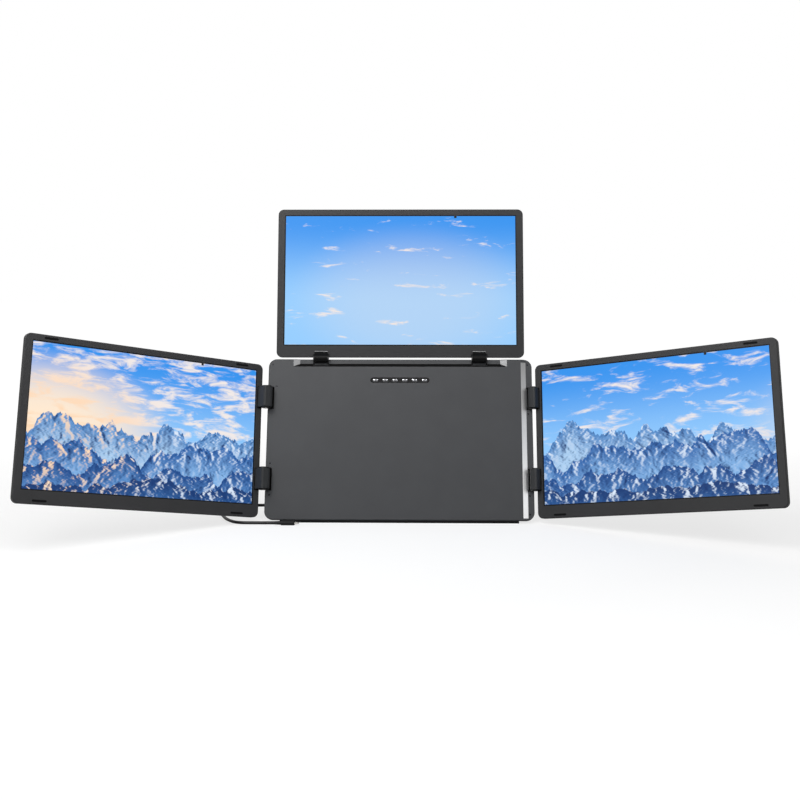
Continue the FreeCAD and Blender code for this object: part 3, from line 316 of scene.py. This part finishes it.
def anodised_aluminium(name, colour, darker, mark_mm, direction, roughness, upper=None):
    material, tree = new_material(name)
    place = add(tree, "TexCoord", out="Object")
    along = tuple(MARK_STRETCH if axis == direction else 1.0 for axis in "xyz")
    stretched = add(tree, "Mapping", {"Vector": place, "Scale": along})
    marks = add(tree, "TexNoise", {"Vector": stretched, "Scale": 1000 / mark_mm, "Detail": 4.0})
    tint = add(tree, "MixRGB", {"Fac": marks, "Color1": linear(darker), "Color2": linear(colour)})
    # The colour fades by height on the hub, lighter below and darker above: painted highlight and shade
    if upper:
        height = add(tree, "SeparateXYZ", {"Vector": place}, out="Z")
        rise = add(tree, "MapRange", {"Value": height, "From Min": STRIP_PAINTED_LIGHT_FADE[0],
                                      "From Max": STRIP_PAINTED_LIGHT_FADE[1]})
        tint = add(tree, "MixRGB", {"Fac": rise, "Color1": tint, "Color2": linear(upper)})
    gloss = add(tree, "MapRange", {"Value": marks, "To Min": roughness - SHARPER,
                                   "To Max": roughness + DULLER})
    bump = add(tree, "Bump", {"Height": marks, "Distance": 0.00003, "Strength": 0.4})
    shader = add(tree, "BsdfPrincipled", {"Base Color": tint, "Metallic": 1.0, "Roughness": gloss,
                                          "Normal": bump})
    add(tree, "OutputMaterial", {"Surface": shader})
    return material


strip_painted_light = anodised_aluminium("edge_strip_anodised_painted_light", "#f2f2f2", "#dedede", 0.8, "z", 0.3,
                                  upper="#858585")
finish_node("hub_edge_strip", strip_painted_light)


# Button bar: a glossy black acrylic inlay in its recess, and six domed keys of polished black
# chrome through it. Each key is a crowned cap on a straight skirt, pressed against its switch.

# Acrylic this dark is smooth and deep, with a few dull smears across its shine
def polished_acrylic(name, colour, darker, roughness):
    material, tree = new_material(name)
    place = add(tree, "TexCoord", out="Object")
    smears = add(tree, "TexNoise", {"Vector": place, "Scale": 1000 / 6, "Detail": 4.0})
    tint = add(tree, "MixRGB", {"Fac": smears, "Color1": linear(darker), "Color2": linear(colour)})
    gloss = add(tree, "MapRange", {"Value": smears, "To Min": roughness, "To Max": roughness + 0.1})
    shader = add(tree, "BsdfPrincipled", {"Base Color": tint, "Roughness": gloss, "IOR": 1.49,
                                          "Specular IOR Level": 0.12})
    add(tree, "OutputMaterial", {"Surface": shader})
    return material


finish_node("hub_button_inlay", polished_acrylic("inlay_acrylic", "#161616", "#0f0f10", 0.18))

KEY_LENGTH = 0.0095
KEY_WIDTH = 0.006
KEY_CORNER = 0.0026
KEY_PROUD = 0.00035
KEY_CROWN = 0.0009
KEY_SKIRT = 0.0024
KEY_POINTS = 32
KEY_STEPS = 8


def key_ring(form, centre, shrink, n):
    ring = []
    for k in range(KEY_POINTS):
        turn = math.tau * (k + 0.5) / KEY_POINTS
        along = math.copysign(KEY_LENGTH / 2 - KEY_CORNER, math.cos(turn))
        up = math.copysign(KEY_WIDTH / 2 - KEY_CORNER, math.sin(turn))
        u = (along + KEY_CORNER * math.cos(turn)) * shrink
        v = (up + KEY_CORNER * math.sin(turn)) * shrink
        ring.append(form.verts.new(centre + U_AXIS * u + V_AXIS * v + N_AXIS * n))
    return ring


def domed_key(centre):
    form = bmesh.new()
    rings = [key_ring(form, centre, 1.0, -KEY_SKIRT),
             key_ring(form, centre, 1.0, KEY_PROUD - KEY_CROWN)]
    for step in range(1, KEY_STEPS):
        shrink = 1 - step / KEY_STEPS
        rings.append(key_ring(form, centre, shrink, KEY_PROUD - KEY_CROWN * shrink ** 2))
    close_rings(form, rings)
    for face in form.faces:
        face.smooth = True
    return form


# Black chrome is a thin dark plating: mirror-bright highlights on a nearly black ground.
def black_chrome():
    material, tree = new_material("key_black_chrome")
    place = add(tree, "TexCoord", out="Object")
    haze = add(tree, "TexNoise", {"Vector": place, "Scale": 1000 / 2, "Detail": 3.0})
    tint = add(tree, "MixRGB", {"Fac": haze, "Color1": linear("#545456"), "Color2": linear("#606062")})
    gloss = add(tree, "MapRange", {"Value": haze, "To Min": 0.08, "To Max": 0.14})
    shader = add(tree, "BsdfPrincipled", {"Base Color": tint, "Metallic": 1.0, "Roughness": gloss})
    add(tree, "OutputMaterial", {"Surface": shader})
    return material


key_finish = black_chrome()
for node in sorted(frame["nodes"]):
    if node.startswith("button_"):
        low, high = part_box(node)
        middle = (low + high) / 2
        centre = middle - N_AXIS * (middle - on_hub(0.0, 0.0, 0.0)).dot(N_AXIS)
        new_piece(node + "_cap", domed_key(centre), key_finish, node, "button_gloss", node)


# Inside the hub: a zinc-plated steel chassis plate with its grey bloom, and green circuit boards
# with copper tracks that show paler under the solder mask. The tracks are drawn coarser than real.

finish_node("hub_chassis_plate", plated_steel("chassis_zinc_plate", "#a9abad", "#8d9094", 9.0, 0.4))


def circuit_board(name):
    material, tree = new_material(name)
    place = add(tree, "TexCoord", out="Object")
    turned = add(tree, "Mapping", {"Vector": place, "Rotation": (math.radians(90), 0.0, 0.0)})
    tracks = add(tree, "TexBrick", {"Vector": turned, "Scale": 1000 / 9, "Mortar Size": 0.06,
                                    "Color1": linear("#14532d"), "Color2": linear("#17603a"),
                                    "Mortar": linear("#3d7a4a")}, out="Color")
    blur = add(tree, "TexNoise", {"Vector": place, "Scale": 1000 / 3, "Detail": 2.0})
    gloss = add(tree, "MapRange", {"Value": blur, "To Min": 0.25, "To Max": 0.4})
    shader = add(tree, "BsdfPrincipled", {"Base Color": tracks, "Roughness": gloss, "IOR": 1.52})
    add(tree, "OutputMaterial", {"Surface": shader})
    return material


solder_mask = circuit_board("board_solder_mask")
for node in sorted(frame["nodes"]):
    if node.endswith("_board"):
        finish_node(node, solder_mask)


# Foot strip, kickstand foot and the bumpers on the bezels: matt silicone rubber, moulded and
# pressed into grooves. It is darker than the plastic round it, and has no shine.

silicone = grained_skin("foot_silicone", "#111112", "#0d0d0e", 1.4, 0.06,
                        roughness=0.75, specular=0.08, ior=1.41)
for node in ("hub_foot_strip", "kickstand_foot_bar", "left_bumpers", "right_bumpers"):
    finish_node(node, silicone)


# Kickstand: an aluminium plate, anodised dark grey, that swings on two steel pins. Its brush
# marks run across, and give it a faint sheen beside the plastic.

dark_plate = anodised_aluminium("kickstand_anodised", "#3f4042", "#37383a", 0.9, "x", 0.4)
finish_node("kickstand_plate", dark_plate)


# Screen hinges: steel brackets and arms, powder-coated black, on turned steel pins. Their moulded
# covers are satin: dark grey at the sides, and a glossier black above the hub. The coating is
# dull black, and the pins glint.

coated_steel = grained_skin("hinge_steel_coating", "#0e0e0f", "#0a0a0b", 1.0, 0.03,
                            roughness=0.42, specular=0.2)
pin_steel = plated_steel("hinge_pin_steel", "#a8a7a5", "#8f8e8c", 0.5, 0.28)
cover_plastic = grained_skin("hinge_cover_plastic", "#353637", "#2f3031", 0.8, 0.03,
                             roughness=0.5, specular=0.12)
upper_cover_plastic = grained_skin("upper_cover_plastic", "#0e0e0e", "#0a0a0a", 0.8, 0.02,
                                   roughness=0.34, specular=0.06)
for node in sorted(frame["nodes"]):
    if node.endswith(("_hinge_brackets", "_hinge_arms", "_hinge_blocks")):
        finish_node(node, coated_steel)
    if node.endswith("_hinge_pins"):
        finish_node(node, pin_steel)
    if node.endswith("_hinge_covers"):
        finish_node(node, upper_cover_plastic if node.startswith("top") else cover_plastic)


# Pockets of the side hinges: each cover drops into shallow pockets in the hub's shell and in the
# bezel. A thin near-black sheet lies in them, painted shade for the gap, and shows as a dark line
# round the cover.

LINER_SHOWS = 0.0017
LINER_BELOW = 0.00204
LINER_ABOVE = 0.00085
LINER_ON_SCREEN = 0.00119
LINER_PROUD = 0.00005
HUB_EDGE_U = 0.2146
RIM_N = -0.003
RIM_U = 0.2055
BEZEL_ROUND = 0.0015

# Near black and fully matt, painted shade with no highlight at any angle
gap_shade_sheet = grained_skin("pocket_painted_gap_shade", "#0a0a0a", "#060606", 0.8, 0.05, roughness=0.9, specular=0.04)


# The turn from a screen opened flat, in line with the hub, to the place where it rests
def rest_turn(side):
    fold = joints[side + "_fold"]
    return Matrix.Rotation(math.radians(-fold["range_deg"][0]), 3, Vector(fold["axis"]))


def corner_points(node):
    return [vertex.co for vertex in frame["nodes"][node].data.vertices]


def shade_liner(name, origin, along, outward, near, far, low, high, body):
    corners = [origin + along * a + V_AXIS * v - outward * LINER_PROUD
               for a, v in ((near, low), (far, low), (far, high), (near, high))]
    new_piece(name, slab_on_outline(corners, outward * LINER_PROUD * 2), gap_shade_sheet, body, "rubber")


for side, away, hub_n, inner_u in (("left", -1, 0.0, 0.0), ("right", 1, RIM_N, RIM_U)):
    pin = Vector(joints[side + "_fold"]["pos_m"])
    across = rest_turn(side) @ U_AXIS * away
    facing = rest_turn(side) @ N_AXIS
    bezel_points = [point - pin for point in corner_points(side + "_bezel")]
    bezel_face = max(point.dot(facing) for point in bezel_points)
    bezel_near = min(point.dot(across) for point in bezel_points) + BEZEL_ROUND
    hub_face = on_hub(0.0, 0.0, hub_n)
    cover_points = corner_points(side + "_hinge_covers")
    middle = sum((point - hub_face).dot(V_AXIS) for point in cover_points) / len(cover_points)
    shift = (pin - hub_face).dot(V_AXIS)
    for end, above in (("lower", -1), ("upper", 1)):
        group = [point for point in cover_points
                 if ((point - hub_face).dot(V_AXIS) - middle) * above > 0]
        heights = [(point - hub_face).dot(V_AXIS) for point in group]
        low, high = min(heights) - LINER_BELOW, max(heights) + LINER_ABOVE
        cover_u = min((point - hub_face).dot(U_AXIS) * away for point in group)
        shade_liner(side + "_hub_pocket_" + end, hub_face, U_AXIS * away, N_AXIS,
              HUB_EDGE_U, max(cover_u - LINER_SHOWS, inner_u), low, high, "hub")
        screen_far = max((point - pin).dot(across) for point in group) + LINER_ON_SCREEN
        shade_liner(side + "_screen_pocket_" + end, pin + facing * bezel_face, across, facing,
              bezel_near, screen_far, low - shift, high - shift, side + "_screen")


# Upper hinge pockets: a thin light grey strip lies on the bezel just above each cover, a painted
# highlight for the edge there, and shows as a thin bright line.

EDGE_GAP = 0.0002
EDGE_WIDTH = 0.0009
painted_edge_highlight = grained_skin("pocket_edge_painted_highlight_abs", "#a2a3a4", "#949596", 3.0, 0.01,
                             roughness=0.2, specular=0.5)
top_up, top_facing = rest_turn("top") @ V_AXIS, rest_turn("top") @ N_AXIS
bezel_face = max((point - TOP_PIN).dot(top_facing) for point in corner_points("top_bezel"))
cover_points = [point - TOP_PIN for point in corner_points("top_hinge_covers")]
edge_lift = top_facing * LINER_PROUD * 2
for side, away in (("left", -1), ("right", 1)):
    group = [point for point in cover_points if point.x * away > 0]
    near = max(point.dot(top_up) for point in group) + EDGE_GAP
    far = near + EDGE_WIDTH
    first, last = min(point.x for point in group), max(point.x for point in group)
    corners = [TOP_PIN + U_AXIS * u + top_up * v + top_facing * (bezel_face - LINER_PROUD)
               for u, v in ((first, near), (last, near), (last, far), (first, far))]
    new_piece("upper_pocket_edge_" + side, slab_on_outline(corners, edge_lift), painted_edge_highlight,
              "top_screen", "screen_housing")


# Screws at the back: small blackened steel screws with six-lobed sockets hold each back cover and
# the hub's rear shell. Their heads stand a quarter of a millimetre proud.

SCREW_RINGS = ((0.0019, -0.0003), (0.0019, 0.00015), (0.0017, 0.00025), (0.0009, 0.00025),
               (0.0008, -0.0002))
FIRST_LOBED = 3
SCREW_POINTS = 36
LOBES = 6
LOBE_DEPTH = 0.16
SCREW_INSET = 0.0095
HUB_SCREW_U = (-0.17, -0.06, 0.06, 0.17)
HUB_SCREW_V = (-0.018, -0.242)
HUB_SCREW_N = -0.01
START_BEHIND = 0.2
NEARLY_FLAT = 0.999


# The head is built ring by ring, from under its rim over the top and down into its lobed socket
def socket_screw(place, outward):
    form = bmesh.new()
    side_way = (U_AXIS - outward * U_AXIS.dot(outward)).normalized()
    other_way = outward.cross(side_way)
    rings = []
    for number, (radius, height) in enumerate(SCREW_RINGS):
        ring = []
        for k in range(SCREW_POINTS):
            turn = math.tau * k / SCREW_POINTS
            wave = 0.5 + 0.5 * math.cos(LOBES * turn) if number >= FIRST_LOBED else 0.0
            reach = radius * (1 - LOBE_DEPTH * wave)
            ring.append(form.verts.new(place + side_way * reach * math.cos(turn)
                                       + other_way * reach * math.sin(turn) + outward * height))
        rings.append(ring)
    close_rings(form, rings)
    return form


# A screw is fitted only where a line from behind meets a flat of the cover
def fit_screws(name, node, outward, places, body):
    faces = [tuple(face.vertices) for face in frame["nodes"][node].data.polygons]
    surface = BVHTree.FromPolygons(corner_points(node), faces)
    for number, place in enumerate(places):
        hit, normal, _, _ = surface.ray_cast(place + outward * START_BEHIND, -outward)
        if hit is not None and normal.dot(outward) > NEARLY_FLAT:
            new_piece("%s_%d" % (name, number + 1), socket_screw(hit, outward), black_oxide,
                      body, "screw_black")


for side in ("left", "right", "top"):
    across, upward, facing = (rest_turn(side) @ axis for axis in (U_AXIS, V_AXIS, N_AXIS))
    points = corner_points(side + "_back_cover")
    spans = [(min(point.dot(way) for point in points) + SCREW_INSET,
              max(point.dot(way) for point in points) - SCREW_INSET) for way in (across, upward)]
    level = sum(point.dot(facing) for point in points) / len(points)
    places = [across * a + upward * b + facing * level for a in spans[0] for b in spans[1]]
    fit_screws(side + "_back_screw", side + "_back_cover", -facing, places, side + "_screen")

rear_places = [on_hub(u, v, HUB_SCREW_N) for u in HUB_SCREW_U for v in HUB_SCREW_V]
fit_screws("hub_back_screw", "hub_rear_cover", -N_AXIS, rear_places, "hub")


# Screen housings: a slim bezel that snaps on a back cover, both moulded in dark grey ABS. They
# are as matt as the hub, and a shade darker.

screen_abs = grained_skin("screen_housing_abs", "#363637", "#2f2f30", 0.9, 0.04,
                          roughness=0.46, specular=0.12)
for side in ("left", "right", "top"):
    finish_node(side + "_bezel", screen_abs)
    finish_node(side + "_back_cover", screen_abs)


# Light guides: clear cast acrylic sheets behind the panels. The fine dots printed on them spread
# the light, and make them look milky white. The dots are drawn coarser than the real 0.2 mm.

def light_guide(name):
    material, tree = new_material(name)
    place = add(tree, "TexCoord", out="Object")
    dots = add(tree, "TexVoronoi", {"Vector": place, "Scale": 1000 / 1.5}, out="Distance")
    tint = add(tree, "MixRGB", {"Fac": dots, "Color1": linear("#f4f6f8"), "Color2": linear("#dfe4ea")})
    shader = add(tree, "BsdfPrincipled", {"Base Color": tint, "Roughness": 0.2, "IOR": 1.49})
    add(tree, "OutputMaterial", {"Surface": shader})
    return material


acrylic_sheet = light_guide("light_guide_acrylic")
for side in ("left", "right", "top"):
    finish_node(side + "_light_guide", acrylic_sheet)


# Display panels: matt anti-glare glass over a lit picture, with a black printed border. The
# picture is a made-up landscape of ridges that rise from mist under a morning sky.

PICTURE_WIDTH = 0.3807
PICTURE_HEIGHT = 0.2135
HORIZON = 0.3
GLOW_HEIGHT = 0.35
GLOW_SQUASH = 2.6
GLOW_REACH = 1.1
RIDGE_STEP = 3.7
SLOPE_STEP = 2.1
LIGHT_STEP = 0.05
MIST_DEPTH = 0.22
SENSOR_X = 0.427
SENSOR_HALF = 0.0095
SENSOR_DEPTH = 0.0152


# Sky: deep blue overhead, pale near the ridges, with a warm glow round the hidden sun
def morning_sky(tree, x, y, glow_x, glow_strength):
    height = add(tree, "MapRange", {"Value": y, "From Min": HORIZON, "From Max": 1.0},
                 interpolation_type="SMOOTHSTEP")
    sky = add(tree, "MixRGB", {"Fac": height, "Color1": linear("#94ccfd"), "Color2": linear("#2a91ee")})
    from_glow = add(tree, "Math", {0: x, 1: glow_x}, operation="SUBTRACT")
    glow_squared = add(tree, "Math", {0: from_glow, 1: from_glow}, operation="MULTIPLY")
    glow_rise = add(tree, "Math", {0: y, 1: GLOW_HEIGHT}, operation="SUBTRACT")
    rise_squared = add(tree, "Math", {0: glow_rise, 1: glow_rise}, operation="MULTIPLY")
    wide_rise = add(tree, "Math", {0: rise_squared, 1: GLOW_SQUASH}, operation="MULTIPLY")
    distance = add(tree, "Math", {0: glow_squared, 1: wide_rise}, operation="ADD")
    glow = add(tree, "MapRange", {"Value": distance, "From Min": 0.0, "From Max": GLOW_REACH,
                                  "To Min": glow_strength, "To Max": 0.0},
               interpolation_type="SMOOTHSTEP")
    return add(tree, "MixRGB", {"Fac": glow, "Color1": sky, "Color2": linear("#ffe9cf")}), glow


# Clouds: long torn streaks, peach where the glow reaches them
def torn_clouds(tree, sky, glow, flat, cloud_low, cloud_high):
    streaked = add(tree, "Mapping", {"Vector": flat, "Scale": (1.6, 6.0, 1.0),
                                     "Rotation": (0.0, 0.0, 0.12)})
    cloud = add(tree, "TexNoise", {"Vector": streaked, "Scale": 2.4, "Detail": 9.0, "Roughness": 0.62,
                                   "Distortion": 0.5})
    thick = add(tree, "MapRange", {"Value": cloud, "From Min": cloud_low, "From Max": cloud_high},
                interpolation_type="SMOOTHSTEP")
    tint = add(tree, "MixRGB", {"Fac": glow, "Color1": linear("#f1e9e6"), "Color2": linear("#ffd9b4")})
    return add(tree, "MixRGB", {"Fac": thick, "Color1": sky, "Color2": tint})


# Relief: the fall of creased noise towards the light. A slope that turns away is dark, and one
# that faces it has snow, which thins out down the ridge
def relief(tree, body, glow, flat, below, number):
    folds = []
    for shift in (0.0, LIGHT_STEP):
        slopes = add(tree, "Mapping", {"Vector": flat, "Scale": (3.6, 4.4, 1.0),
                                       "Rotation": (0.0, 0.0, 0.5),
                                       "Location": (SLOPE_STEP * number + shift, shift * 0.6, 0.0)})
        swell = add(tree, "TexNoise", {"Vector": slopes, "Scale": 1.2, "Detail": 9.0, "Roughness": 0.55,
                                       "Distortion": 0.2})
        centred = add(tree, "Math", {0: swell, 1: 0.5}, operation="SUBTRACT")
        folds.append(add(tree, "Math", {0: centred}, operation="ABSOLUTE"))
    fall = add(tree, "Math", {0: folds[0], 1: folds[1]}, operation="SUBTRACT")
    shade = add(tree, "MapRange", {"Value": fall, "From Min": 0.0, "From Max": -0.07})
    body = add(tree, "MixRGB", {"Fac": shade, "Color1": body, "Color2": linear("#0d3570")})
    faces_light = add(tree, "MapRange", {"Value": fall, "From Min": 0.008, "From Max": 0.045})
    thins = add(tree, "MapRange", {"Value": below, "From Min": 0.02, "From Max": 0.2,
                                   "To Min": 1.0, "To Max": 0.25})
    snow = add(tree, "Math", {0: faces_light, 1: thins}, operation="MULTIPLY")
    tint = add(tree, "MixRGB", {"Fac": glow, "Color1": linear("#dbe9fa"), "Color2": linear("#ffdcb8")})
    return add(tree, "MixRGB", {"Fac": snow, "Color1": body, "Color2": tint})


# The printed border hides everything outside the picture, and the light sensor behind its dark
# window at the upper border
def inside_border(tree, x, y_middle, y):
    x_out = add(tree, "Math", {0: x}, operation="ABSOLUTE")
    y_out = add(tree, "Math", {0: y_middle}, operation="ABSOLUTE")
    in_x = add(tree, "Math", {0: x_out, 1: PICTURE_WIDTH / PICTURE_HEIGHT / 2}, operation="LESS_THAN")
    in_y = add(tree, "Math", {0: y_out, 1: 0.5}, operation="LESS_THAN")
    lit = add(tree, "Math", {0: in_x, 1: in_y}, operation="MULTIPLY")
    from_sensor = add(tree, "Math", {0: x, 1: SENSOR_X}, operation="SUBTRACT")
    beside = add(tree, "Math", {0: from_sensor}, operation="ABSOLUTE")
    clear_x = add(tree, "Math", {0: beside, 1: SENSOR_HALF}, operation="GREATER_THAN")
    clear_y = add(tree, "Math", {0: y, 1: 1.0 - SENSOR_DEPTH}, operation="LESS_THAN")
    clear = add(tree, "Math", {0: clear_x, 1: clear_y}, operation="MAXIMUM")
    return add(tree, "Math", {0: lit, 1: clear}, operation="MULTIPLY")


# The glass is nearly black where it isn't lit, and its anti-glare etching blurs what it reflects.
# The etching is drawn coarser than the real 0.02 mm
def picture(side, seed, glow_x, glow_strength, cloud_low, cloud_high, ridges):
    material, tree = new_material(side + "_display_picture")
    across = rest_turn(side) @ U_AXIS / PICTURE_HEIGHT
    upward = rest_turn(side) @ V_AXIS / PICTURE_HEIGHT
    low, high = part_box(side + "_display_panel")
    place = add(tree, "TexCoord", out="Object")
    here = add(tree, "VectorMath", {0: place, 1: (low + high) / 2}, operation="SUBTRACT")
    x = add(tree, "VectorMath", {0: here, 1: across}, out="Value", operation="DOT_PRODUCT")
    y_middle = add(tree, "VectorMath", {0: here, 1: upward}, out="Value", operation="DOT_PRODUCT")
    y = add(tree, "Math", {0: y_middle, 1: 0.5}, operation="ADD")
    sky, glow = morning_sky(tree, x, y, glow_x, glow_strength)
    flat = add(tree, "CombineXYZ", {"X": x, "Y": y, "Z": seed})
    view = torn_clouds(tree, sky, glow, flat, cloud_low, cloud_high)

    # Ridges, from the farthest to the nearest: each stands against the mist of the one behind
    for number, (base, swing, detail, peak, foot) in enumerate(ridges):
        line = add(tree, "CombineXYZ", {"X": x, "Y": seed + RIDGE_STEP * number})
        rough_line = add(tree, "TexNoise", {"Vector": line, "Scale": detail, "Detail": 7.0,
                                            "Roughness": 0.6})
        raised = add(tree, "MapRange", {"Value": rough_line, "From Min": 0.25, "From Max": 0.75,
                                        "To Min": base - swing, "To Max": base + swing}, clamp=False)
        below = add(tree, "Math", {0: raised, 1: y}, operation="SUBTRACT")
        mask = add(tree, "MapRange", {"Value": below, "From Min": 0.0, "From Max": 0.004})
        depth = add(tree, "MapRange", {"Value": below, "From Min": 0.0, "From Max": MIST_DEPTH})
        body = add(tree, "MixRGB", {"Fac": depth, "Color1": linear(peak), "Color2": linear(foot)})
        body = relief(tree, body, glow, flat, below, number)
        view = add(tree, "MixRGB", {"Fac": mask, "Color1": view, "Color2": body})

    lit = inside_border(tree, x, y_middle, y)
    shown = add(tree, "MixRGB", {"Fac": lit, "Color1": linear("#040405"), "Color2": view})
    anti_glare = add(tree, "TexNoise", {"Vector": place, "Scale": 1000 / 0.6, "Detail": 1.0})
    gloss = add(tree, "MapRange", {"Value": anti_glare, "To Min": 0.3, "To Max": 0.42})
    shader = add(tree, "BsdfPrincipled", {"Base Color": linear("#050506"), "Roughness": gloss,
                                          "Specular IOR Level": 0.12, "Emission Color": shown,
                                          "Emission Strength": 1.0})
    add(tree, "OutputMaterial", {"Surface": shader})
    return material


SIDE_RIDGES = [
    (0.45, 0.22, 2.1, "#4f89c9", "#a9cdf0"),
    (0.33, 0.24, 1.7, "#2762ab", "#7fb0e4"),
    (0.19, 0.17, 2.4, "#174b90", "#6399d6"),
    (0.08, 0.10, 3.1, "#0e3670", "#3f78bc"),
]
for side, seed, glow_x, glow_strength, cloud_low, cloud_high, ridges in (
    ("left", 1.3, -0.75, 1.0, 0.44, 0.62, SIDE_RIDGES),
    ("right", 8.9, 1.6, 0.35, 0.52, 0.7, SIDE_RIDGES),
    ("top", 5.2, 0.1, 0.2, 0.58, 0.72, []),
):
    finish_node(side + "_display_panel",
                picture(side, seed, glow_x, glow_strength, cloud_low, cloud_high, ridges))


# Floor: a seamless white paper sweep. To the camera it is lit from within just enough to stay
# white in the open, and more so farther out, where the lamps fade, so only soft shadows show.
# The paper's fibre is drawn coarser than real.

LIT_NEAR = 0.5
LIT_FAR = 1.8
GLOW_NEAR = 0.665
GLOW_FAR = 0.9
FLOOR_HALF = 12.0


def paper_sweep():
    material, tree = new_material("paper_sweep")
    place = add(tree, "TexCoord", out="Object")
    fibre = add(tree, "TexNoise", {"Vector": place, "Scale": 1000 / 3, "Detail": 2.0})
    paper = add(tree, "MixRGB", {"Fac": fibre, "Color1": linear("#e4e4e4"), "Color2": linear("#e9e9e9")})
    bounce = add(tree, "BsdfDiffuse", {"Color": paper})
    seen_paper = add(tree, "BsdfDiffuse", {"Color": linear("#9f9f9f")})
    away = add(tree, "VectorMath", {0: place}, out="Value", operation="LENGTH")
    lift = add(tree, "MapRange", {"Value": away, "From Min": LIT_NEAR, "From Max": LIT_FAR,
                                  "To Min": GLOW_NEAR, "To Max": GLOW_FAR})
    glow = add(tree, "Emission", {"Color": linear("#ffffff"), "Strength": lift})
    seen = add(tree, "AddShader", {0: seen_paper, 1: glow})
    ray = add(tree, "LightPath", out="Is Camera Ray")
    surface = add(tree, "MixShader", {"Fac": ray, 1: bounce, 2: seen})
    add(tree, "OutputMaterial", {"Surface": surface})
    return material


sheet = bmesh.new()
bmesh.ops.create_grid(sheet, x_segments=2, y_segments=2, size=FLOOR_HALF)
floor_mesh = bpy.data.meshes.new("studio_floor")
sheet.to_mesh(floor_mesh)
sheet.free()
floor = bpy.data.objects.new("studio_floor", floor_mesh)
bpy.context.scene.collection.objects.link(floor)
floor_mesh.materials.append(paper_sweep())


# Light: one broad soft box above and in front, which falls off down the hub, a soft box on each
# side for the sloped trims, one behind, and a white room. The two small glints show only in
# reflections, and give the keys their bright spots.

ROOM_LIGHT = 0.34
world = bpy.data.worlds.new("studio")
bpy.context.scene.world = world
world.use_nodes = True
world.node_tree.nodes.clear()
room = world.node_tree
camera_ray = add(room, "LightPath", out="Is Camera Ray")
glossy_ray = add(room, "LightPath", out="Is Glossy Ray")
clear_ray = add(room, "LightPath", out="Is Transmission Ray")
seen_glossy = add(room, "Math", {0: camera_ray, 1: glossy_ray}, operation="MAXIMUM")
seen_all = add(room, "Math", {0: seen_glossy, 1: clear_ray}, operation="MAXIMUM")
room_level = add(room, "MapRange", {"Value": seen_all, "To Min": ROOM_LIGHT, "To Max": 1.0})
background = add(room, "Background", {"Color": linear("#ffffff"), "Strength": room_level})
add(room, "OutputWorld", {"Surface": background})

for name, spot, aim, size, power, lights_surfaces in (
    ("front_box", (-0.3, -0.55, 0.85), (0.0, 0.0, 0.15), (1.1, 0.45), 6.2, True),
    ("left_box", (-0.74, -1.73, 1.15), (0.0, 0.0, 0.2), (0.6, 0.9), 4.0, True),
    ("right_box", (0.7, -1.77, 1.16), (0.0, 0.0, 0.2), (0.6, 0.9), 4.0, True),
    ("rear_box", (0.0, 1.6, 1.3), (0.0, 0.0, 0.2), (1.6, 0.8), 10.0, True),
    ("left_glint", (-0.89, -1.5, 1.54), (0.0, 0.0, 0.25), (0.35, 0.35), 34.0, False),
    ("right_glint", (0.89, -1.5, 1.54), (0.0, 0.0, 0.25), (0.3, 0.3), 13.0, False),
):
    lamp = bpy.data.lights.new(name, "AREA")
    lamp.shape = "RECTANGLE"
    lamp.size, lamp.size_y = size
    lamp.energy = power
    box = bpy.data.objects.new(name, lamp)
    box.location = spot
    box.rotation_mode = "QUATERNION"
    box.rotation_quaternion = (Vector(aim) - Vector(spot)).to_track_quat("-Z", "Y")
    box.visible_diffuse = lights_surfaces
    bpy.context.scene.collection.objects.link(box)

bpy.context.scene.view_settings.view_transform = "Standard"
